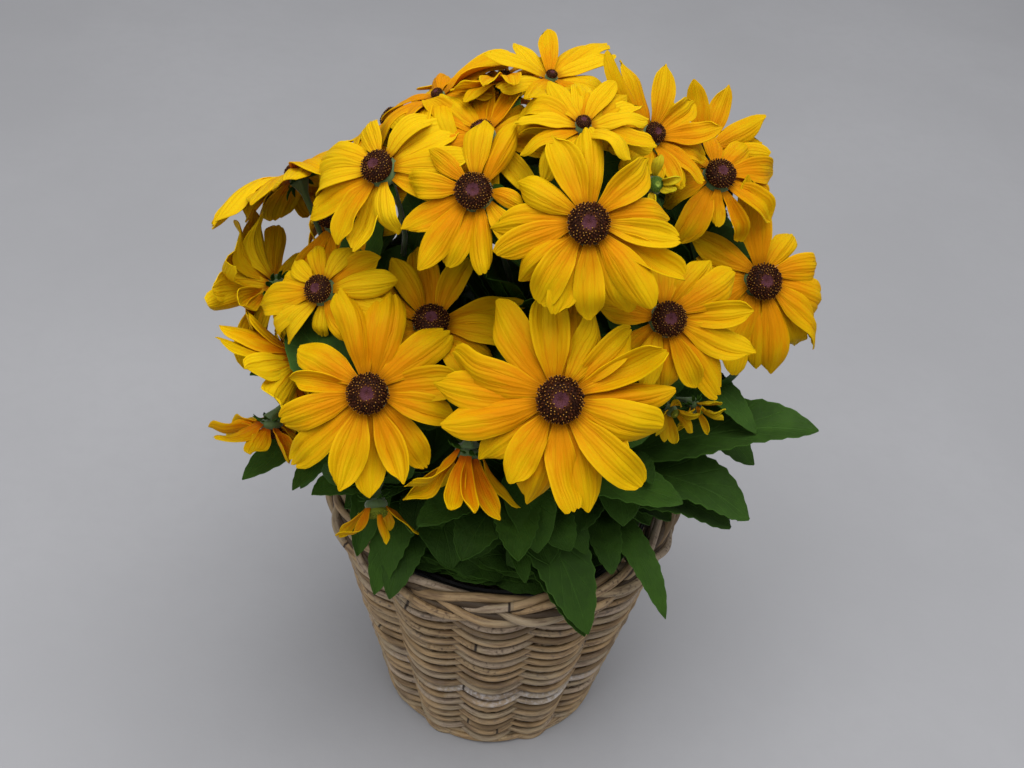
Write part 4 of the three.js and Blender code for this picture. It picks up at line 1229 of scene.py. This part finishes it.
def weave_wall(props, rand, finish):
    """The wall: rings that pass in and out of the stakes, each the other way to the one below."""
    pattern = model_strand("strand", 196, 8)
    turn, round_ = strand_angles(pattern)
    rows = round(WALL_TOP / props.strand_pitch)
    half = props.strand_width / 2
    fits, shades, marks, washes = [], [], [], []
    for row in range(rows):
        phase = 1 if row % 2 else -1
        wave = phase * np.cos(LOBES / 2 * turn)
        z = half + row * (WALL_TOP - half) / (rows - 1)
        drift = rand.uniform(-0.6, 0.6) * MM * np.sin(turn * rand.randint(1, 4) + rand.uniform(0, 6))
        radius = wall_radius(z) + props.lobe_depth * wave + rand.uniform(-0.5, 0.5) * MM
        thick = half * rand.uniform(0.82, 1.1)
        fits.append(lay_strand(turn, round_, radius, z + drift, thick, thick))
        shade, mark = strand_marks(turn, rand, ROW_RODS)
        shades.append(shade)
        marks.append(mark)
        washed = WASH_LOW < z < WASH_HIGH
        washes.append(smooth_step(-0.5, 0.9, np.sin(turn * 3 + row)) * (0.85 if washed else 0.08))
    return lay_rings("basket_weave", pattern, fits, {"shade": shades, "joint_and_core_shade": marks, "wash": washes}, finish)


def basket_stakes(rand, finish):
    """The upright stakes that the wall is woven on, one in each lobe."""
    rod = start_primitive(bpy.ops.mesh.primitive_cylinder_add, "stake", vertices=8, radius=1, depth=1)
    points = points_of(rod)
    fits = []
    for lobe in range(LOBES):
        turn = lobe / LOBES * 2 * math.pi
        z = (points[:, 2] + 0.5) * STAKE_LENGTH + STAKE_FOOT
        out = wall_radius(z) + points[:, 0] * STAKE_HALF
        side = points[:, 1] * STAKE_HALF
        x = out * math.sin(turn) + side * math.cos(turn)
        y = -out * math.cos(turn) + side * math.sin(turn)
        fits.append(np.column_stack([x, y, z]))
    marks = {"shade": [rand.random() for _ in fits], "joint_and_core_shade": [0.0] * len(fits)}
    stakes = copies("basket_stakes", rod, fits, marks)
    discard(rod)
    paint(stakes, finish)
    return stakes


def basket_floor(rand, finish):
    """The woven floor: rings that wave up and down in turn."""
    pattern = model_strand("ring", 64, 6)
    turn, round_ = strand_angles(pattern)
    fits, shades = [], []
    for ring in range(FLOOR_RINGS):
        radius = 3 * MM + (WALL_BASE_RADIUS - 4 * MM) * ring / (FLOOR_RINGS - 1)
        wave = (1 if ring % 2 else -1) * np.cos(8 * turn) * 1.2 * MM
        fits.append(lay_strand(turn, round_, radius, 4.6 * MM + wave, 2.3 * MM, 1.7 * MM))
        shades.append(rand.random())
    marks = {"shade": shades, "joint_and_core_shade": [0.0] * FLOOR_RINGS}
    return lay_rings("basket_floor", pattern, fits, marks, finish)


def basket_foot(rand, finish):
    """The foot: strands that wind round each other."""
    pattern = model_strand("strand", 160, 8)
    turn, round_ = strand_angles(pattern)
    fits, shades = [], []
    for i in range(FOOT_STRANDS):
        wind = turn * FOOT_TURNS + i / FOOT_STRANDS * 2 * math.pi
        radius = FOOT_RADIUS + FOOT_WIDE * np.cos(wind)
        z = FOOT_MIDDLE + FOOT_TALL * np.sin(wind)
        fits.append(lay_strand(turn, round_, radius, z, FOOT_HALF, FOOT_HALF))
        shades.append(rand.random())
    marks = {"shade": shades, "joint_and_core_shade": [0.0] * FOOT_STRANDS}
    return lay_rings("basket_foot", pattern, fits, marks, finish)


def basket_border(rand, finish):
    """The border: single rods plaited over a near-black core that is painted shade in the gaps between them.
    """
    pattern = model_strand("strand", 320, 8)
    turn, round_ = strand_angles(pattern)
    fits, shades, marks = [], [], []
    for rod in range(PLAIT_RODS):
        wind = turn * PLAIT_TURNS + rod / PLAIT_RODS * 2 * math.pi
        wind = wind + rand.uniform(0.1, 0.3) * np.sin(turn * rand.randint(3, 8) + rand.uniform(0, 6))
        fall = PLAIT_FALL * rand.uniform(0.92, 1.08) * np.sin(wind)
        depth = PLAIT_DEPTH * np.sin(2 * wind)
        radius = PLAIT_RADIUS + fall * math.sin(PLAIT_TILT) + depth * math.cos(PLAIT_TILT)
        z = BORDER_MIDDLE - fall * math.cos(PLAIT_TILT) + depth * math.sin(PLAIT_TILT)
        thick = PLAIT_HALF * rand.uniform(0.9, 1.1)
        fits.append(lay_strand(turn, round_, radius, z, thick, thick))
        shade, mark = strand_marks(turn, rand, BORDER_RODS)
        shades.append(shade)
        marks.append(mark)
    # The core: two strands coloured near black, painted shade that shows through the gaps of the plait
    core = 0.8 * PLAIT_DEPTH
    for low in (-1, 1):
        z = BORDER_MIDDLE + low * 0.4 * PLAIT_FALL
        fits.append(lay_strand(turn, round_, PLAIT_RADIUS - low * MM, z, core, core))
        shades.append(0.0)
        marks.append(0.8)
    return lay_rings("basket_rim", pattern, fits, {"shade": shades, "joint_and_core_shade": marks}, finish)


# Pot and soil


def model_pot(finish):
    """The black nursery pot: a thin tapered tub with a rolled lip."""
    height = POT_TOP - POT_BASE
    tub = start_primitive(
        bpy.ops.mesh.primitive_cone_add,
        "nursery_tub",
        vertices=72,
        radius1=POT_BASE_RADIUS,
        radius2=POT_TOP_RADIUS,
        depth=height,
        location=(0, 0, POT_BASE + height / 2),
    )
    bpy.ops.object.transform_apply(location=True, rotation=False, scale=False)
    bpy.ops.object.mode_set(mode="EDIT")
    bpy.ops.mesh.select_all(action="DESELECT")
    bpy.ops.object.mode_set(mode="OBJECT")
    tub.data.vertices.foreach_set("select", points_of(tub)[:, 2] > POT_TOP - MM)
    bpy.ops.object.mode_set(mode="EDIT")
    bpy.ops.mesh.delete(type="ONLY_FACE")
    bpy.ops.object.mode_set(mode="OBJECT")
    apply_modifier(tub, "SOLIDIFY", thickness=POT_WALL, offset=-1)
    lip = start_primitive(
        bpy.ops.mesh.primitive_torus_add,
        "lip",
        location=(0, 0, POT_TOP - POT_LIP / 2),
        major_segments=96,
        minor_segments=10,
        major_radius=POT_TOP_RADIUS + POT_LIP / 2,
        minor_radius=POT_LIP / 2,
    )
    bpy.ops.object.transform_apply(location=True, rotation=False, scale=False)
    pot = join([tub, lip], "nursery_tub")
    shade_smooth(pot, POT_ANGLE)
    paint(pot, finish)
    return pot


def lay_soil(rand):
    """A round bed with low waves in its top."""
    bed = model_grid("soil_bed", *SOIL_GRID)
    points = points_of(bed)
    x, y = 2 * points[:, 0], 2 * points[:, 1] - 1
    scale = SOIL_RADIUS * np.maximum(np.abs(x), np.abs(y)) / np.maximum(np.hypot(x, y), WELD)
    x, y = x * scale, y * scale
    z = np.full(len(x), SOIL_TOP)
    for _ in range(SOIL_WAVES):
        turn, wave = rand.uniform(0, math.pi), rand.uniform(90, 620)
        z += 0.09 / wave * np.sin((x * math.cos(turn) + y * math.sin(turn)) * wave + rand.uniform(0, 6))
    move_points(bed, np.column_stack([x, y, z]))
    apply_modifier(bed, "SOLIDIFY", thickness=SOIL_THICK, offset=-1)
    return bed


def scatter_crumbs(rand):
    """Loose crumbs of soil, each with its own place, size and turn."""
    crumb = start_primitive(bpy.ops.mesh.primitive_ico_sphere_add, "crumb", subdivisions=1, radius=1)
    shape = points_of(crumb)
    fits = []
    for _ in range(CRUMBS):
        turn, out = rand.uniform(0, 2 * math.pi), math.sqrt(rand.random()) * (SOIL_RADIUS - 4 * MM)
        place = np.array([out * math.cos(turn), out * math.sin(turn), SOIL_TOP + 0.6 * MM])
        size = rand.uniform(0.8, 3.2) * MM
        spin = np.array(Matrix.Rotation(rand.uniform(0, 6), 3, Vector((rand.random(), rand.random(), 1))))
        flat = shape * [size, size * rand.uniform(0.5, 1), size * rand.uniform(0.4, 0.8)]
        fits.append(flat @ spin.T + place)
    crumbs = copies("crumbs", crumb, fits, {})
    discard(crumb)
    return crumbs


def model_soil(rand, finish):
    """The lumpy top of the soil, with loose crumbs on it."""
    soil = join([lay_soil(rand), scatter_crumbs(rand)], "soil_bed")
    shade_smooth(soil)
    paint(soil, finish)
    return soil


# Sizes and colours that can be changed


def length_property(name, description, default):
    return bpy.props.FloatProperty(name=name, description=description, default=default, min=0, unit="LENGTH")


def count_property(name, description, default, least=0):
    return bpy.props.IntProperty(name=name, description=description, default=default, min=least)


def angle_property(name, description, degrees):
    angle = math.radians(degrees)
    return bpy.props.FloatProperty(name=name, description=description, default=angle, subtype="ANGLE")


def colour_property(name, description, default):
    return bpy.props.FloatVectorProperty(
        name=name, description=description, default=default, size=3, min=0, max=1, subtype="COLOR"
    )


class RayProperties(bpy.types.PropertyGroup):
    """Sizes and colours of the petals."""

    thickness: length_property("Petal thickness", "Thickness of a petal", 0.45 * MM)
    claw_colour: colour_property("Claw colour", "Colour where a petal joins the cone", (0.3, 0.045, 0.001))
    base_colour: colour_property("Base colour", "Colour of a petal's lower part", (0.605, 0.158, 0.0003))
    tip_colour: colour_property("Tip colour", "Colour of a petal's tip", (0.61, 0.385, 0.001))


class LeafProperties(bpy.types.PropertyGroup):
    """Sizes and colours of the leaves."""

    thickness: length_property("Leaf thickness", "Thickness of a leaf", 0.4 * MM)
    teeth: count_property("Teeth", "Teeth along a leaf's edge", 13, 3)
    fillers: count_property("Small leaves", "Small leaves on each stem", 22)
    low_leaves: count_property("Low leaves", "Small leaves over the soil", 130)
    backing: count_property("Backing leaves", "Leaves behind each bloom", 5)
    dark_colour: colour_property("Dark colour", "Colour of the darkest leaves", (0.006, 0.018, 0.002))
    bright_colour: colour_property("Bright colour", "Colour of the brightest leaves", (0.034, 0.088, 0.006))
    greyish_colour: colour_property("Greyish colour", "Greyish green of a few leaves", (0.06, 0.1, 0.05))


class BasketProperties(bpy.types.PropertyGroup):
    """Sizes and colours of the basket."""

    strand_width: length_property("Strand width", "Width of a woven strand", 4.3 * MM)
    strand_pitch: length_property("Strand pitch", "Height between the rows", 4.7 * MM)
    lobe_depth: length_property("Lobe depth", "How far a strand bulges round a stake", 6.2 * MM)
    tan_colour: colour_property("Tan colour", "Colour of the warm strands", (0.41, 0.272, 0.135))
    grey_colour: colour_property("Grey colour", "Colour of the weathered strands", (0.37, 0.285, 0.175))
    wash_colour: colour_property("Wash colour", "Colour of the pale wash", (0.6, 0.56, 0.54))


class StageProperties(bpy.types.PropertyGroup):
    """The camera, floor and light."""

    camera_height: length_property("Camera height", "Height of the camera", 0.7524)
    camera_distance: length_property("Camera distance", "Distance of the camera before the pot", 0.5393)
    pitch: angle_property("Pitch", "How far the camera looks down", 42.1)
    roll: angle_property("Roll", "How far the camera is turned", 4.3)
    lens: bpy.props.FloatProperty(name="Lens", description="Focal length in millimetres", default=43.2)
    floor_colour: colour_property("Floor colour", "Colour of the floor", (0.37, 0.37, 0.385))


# Stage


def area_light(name, place, size, power):
    """A square light that shines on the plant."""
    light = bpy.data.lights.new(name, "AREA")
    light.size = size
    light.energy = power
    lamp = bpy.data.objects.new(name, light)
    bpy.context.scene.collection.objects.link(lamp)
    lamp.location = place
    aim = Vector(LIGHT_AIM) - Vector(place)
    lamp.rotation_euler = aim.to_track_quat("-Z", "Y").to_euler()


def aim_camera(props):
    """The camera, which looks down on the plant from in front of it."""
    camera = bpy.data.cameras.new("camera")
    camera.lens = props.lens
    camera.sensor_width = SENSOR_WIDTH
    camera.clip_start = CLIP_START
    view = bpy.data.objects.new("camera", camera)
    bpy.context.scene.collection.objects.link(view)
    view.location = (0, -props.camera_distance, props.camera_height)
    pitch = Matrix.Rotation(math.pi / 2 - props.pitch, 4, "X")
    roll = Matrix.Rotation(props.roll, 4, "Z")
    view.rotation_euler = (pitch @ roll).to_euler()
    return view


# Operators


class MakeBlooms(bpy.types.Operator):
    """Models the petals, bracts and cone of every bloom"""

    bl_idname = "rudbeckia.make_blooms"
    bl_label = "Blooms"

    def execute(self, context):
        rays, leaves = context.scene.rudbeckia_rays, context.scene.rudbeckia_leaves
        front, back = ray_finish("ray_golden", False), ray_finish("ray_golden_back", True)
        green = leaf_finish("bract_green", False)
        finishes = {kind: cone_finish(kind) for kind in CONE_TONES}
        finishes["pollen"] = pollen_finish()
        petal, bract = model_grid("petal", *PETAL_GRID), model_grid("bract", *BRACT_GRID)
        dome, hub = model_dome("dome", *DOME_GRID), model_dome("hub_pattern", *HUB_GRID)
        stem_green = stem_finish()
        floret = start_primitive(
            bpy.ops.mesh.primitive_cone_add, "floret", vertices=5, radius1=0.55, radius2=0.4, depth=1
        )
        grain = start_primitive(bpy.ops.mesh.primitive_ico_sphere_add, "grain", subdivisions=1, radius=1)
        for name, node in bloom_nodes().items():
            rand = random.Random(node)
            bloom = read_bloom(node)
            scale = SMALL_CONES.get(name, 1)
            petals = model_petals(name, bloom, scale, petal, rand)
            thicken(petals, front, back, rays.thickness, PETAL_ANGLE)
            settle(petals, "ray_yellow", node)
            bracts = model_bracts(name, bloom, bract, rand, green, leaves.thickness)
            bracts = join([bracts, model_hub(bloom, scale, hub, stem_green)], f"{name}_bracts")
            settle(bracts, "leaf_green")
            cone = model_cone(name, bloom, scale, (dome, floret, grain), rand, finishes)
            settle(cone, "cone_brown", *own_cone(name))
        for pattern in (petal, bract, dome, hub, floret, grain):
            discard(pattern)
        return {"FINISHED"}


class MakeLeaves(bpy.types.Operator):
    """Models the leaves, and smooths the stems that carry them"""

    bl_idname = "rudbeckia.make_leaves"
    bl_label = "Leaves and stems"

    def execute(self, context):
        props = context.scene.rudbeckia_leaves
        front, back = leaf_finish("leaf_dark_green", False), leaf_finish("leaf_green_back", True)
        green = stem_finish()
        sheet, small = model_grid("leaf", *LEAF_GRID), model_grid("small_leaf", *SMALL_LEAF_GRID)
        blooms = {name: read_bloom(node) for name, node in bloom_nodes().items()}
        stalks = np.concatenate([welded(f"stem_{name}")[0] for name in STEMS])
        for name in STEMS:
            node = f"stem_{name}"
            rand = random.Random(node)
            leaves, blade_points = read_leaves(node)
            large = leaf_copies(f"{node}_leaves", sheet, leaves, rand, props.teeth, LARGE_SHADES)
            fillers = filler_leaves(name, blooms.values(), rand, props.fillers)
            little = leaf_copies("fillers", small, fillers, rand, SMALL_TEETH, FILLER_SHADES)
            foliage = join([large, little], f"{node}_leaves")
            thicken(foliage, front, back, props.thickness, LEAF_ANGLE)
            settle(foliage, "leaf_green")
            stem = smooth_stem(node, blade_points)
            paint(stem, green)
            settle(stem, "leaf_green", node)
        rand = random.Random(LOW_LEAVES_SEED)
        leaves = low_leaves(blooms.values(), rand, props.low_leaves)
        for name, bloom in blooms.items():
            if name not in BARE_BLOOMS:
                leaves += backing_leaves(bloom, stalks, blooms.values(), rand, props.backing)
        # The darker tones of the low and backing leaves are partly painted shade inside the plant
        foliage = leaf_copies("low_leaves", small, leaves, rand, SMALL_TEETH, LOW_TONES_WITH_PAINTED_SHADE)
        thicken(foliage, front, back, props.thickness, LEAF_ANGLE)
        settle(foliage, "leaf_green")
        discard(sheet)
        discard(small)
        return {"FINISHED"}


class MakeBasket(bpy.types.Operator):
    """Weaves the basket's wall, floor, foot and border"""

    bl_idname = "rudbeckia.make_basket"
    bl_label = "Basket"

    def execute(self, context):
        rand = random.Random(BASKET_SEED)
        finish = rattan_finish()
        settle(weave_wall(context.scene.rudbeckia_basket, rand, finish), "rattan", "basket_body")
        settle(basket_stakes(rand, finish), "rattan")
        settle(basket_floor(rand, finish), "rattan")
        settle(basket_foot(rand, finish), "rattan")
        settle(basket_border(rand, finish), "rattan", "basket_border")
        return {"FINISHED"}


class MakePot(bpy.types.Operator):
    """Models the black pot and lays the soil in it"""

    bl_idname = "rudbeckia.make_pot"
    bl_label = "Pot and soil"

    def execute(self, context):
        settle(model_pot(pot_finish()), "pot_plastic", "nursery_pot")
        settle(model_soil(random.Random(SOIL_SEED), soil_finish()), "compost", "soil")
        return {"FINISHED"}


class MakeStage(bpy.types.Operator):
    """Sets up the floor, the light and the camera"""

    bl_idname = "rudbeckia.make_stage"
    bl_label = "Stage"

    def execute(self, context):
        props = context.scene.rudbeckia_stage
        floor = start_primitive(bpy.ops.mesh.primitive_plane_add, "floor", size=FLOOR_SIZE)
        paint(floor, floor_finish(tuple(props.floor_colour)))
        floor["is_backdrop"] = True
        world = bpy.data.worlds.new("soft_sky")
        world.use_nodes = True
        sky = world.node_tree.nodes["Background"]
        sky.inputs["Color"].default_value = SKY_COLOUR
        sky.inputs["Strength"].default_value = SKY_STRENGTH
        context.scene.world = world
        for light in LIGHTS:
            area_light(*light)
        context.scene.camera = aim_camera(props)
        context.scene.view_settings.view_transform = "Standard"
        return {"FINISHED"}


class RudbeckiaPanel(bpy.types.Panel):
    """Lists the steps that model the plant"""

    bl_idname = "VIEW3D_PT_rudbeckia"
    bl_label = "Potted rudbeckia"
    bl_space_type = "VIEW_3D"
    bl_region_type = "UI"
    bl_category = "Rudbeckia"

    def draw(self, context):
        for operator in OPERATORS:
            self.layout.operator(operator.bl_idname)


GROUPS = {
    "rudbeckia_rays": RayProperties,
    "rudbeckia_leaves": LeafProperties,
    "rudbeckia_basket": BasketProperties,
    "rudbeckia_stage": StageProperties,
}
OPERATORS = (MakeBasket, MakePot, MakeLeaves, MakeBlooms, MakeStage)


def register():
    for group in (*GROUPS.values(), *OPERATORS, RudbeckiaPanel):
        bpy.utils.register_class(group)
    for name, group in GROUPS.items():
        setattr(bpy.types.Scene, name, bpy.props.PointerProperty(type=group))


def unregister():
    for name in GROUPS:
        delattr(bpy.types.Scene, name)
    for group in (RudbeckiaPanel, *reversed(OPERATORS), *reversed(GROUPS.values())):
        bpy.utils.unregister_class(group)


def main():
    register()
    bpy.ops.rudbeckia.make_basket()
    bpy.ops.rudbeckia.make_pot()
    bpy.ops.rudbeckia.make_leaves()
    bpy.ops.rudbeckia.make_blooms()
    bpy.ops.rudbeckia.make_stage()
    boxes = {"cad": CAD_BOX, "visual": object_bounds()}
    {key: [[float(v) for v in corner] for corner in box] for key, box in boxes.items()}


if __name__ == "__main__":
    main()
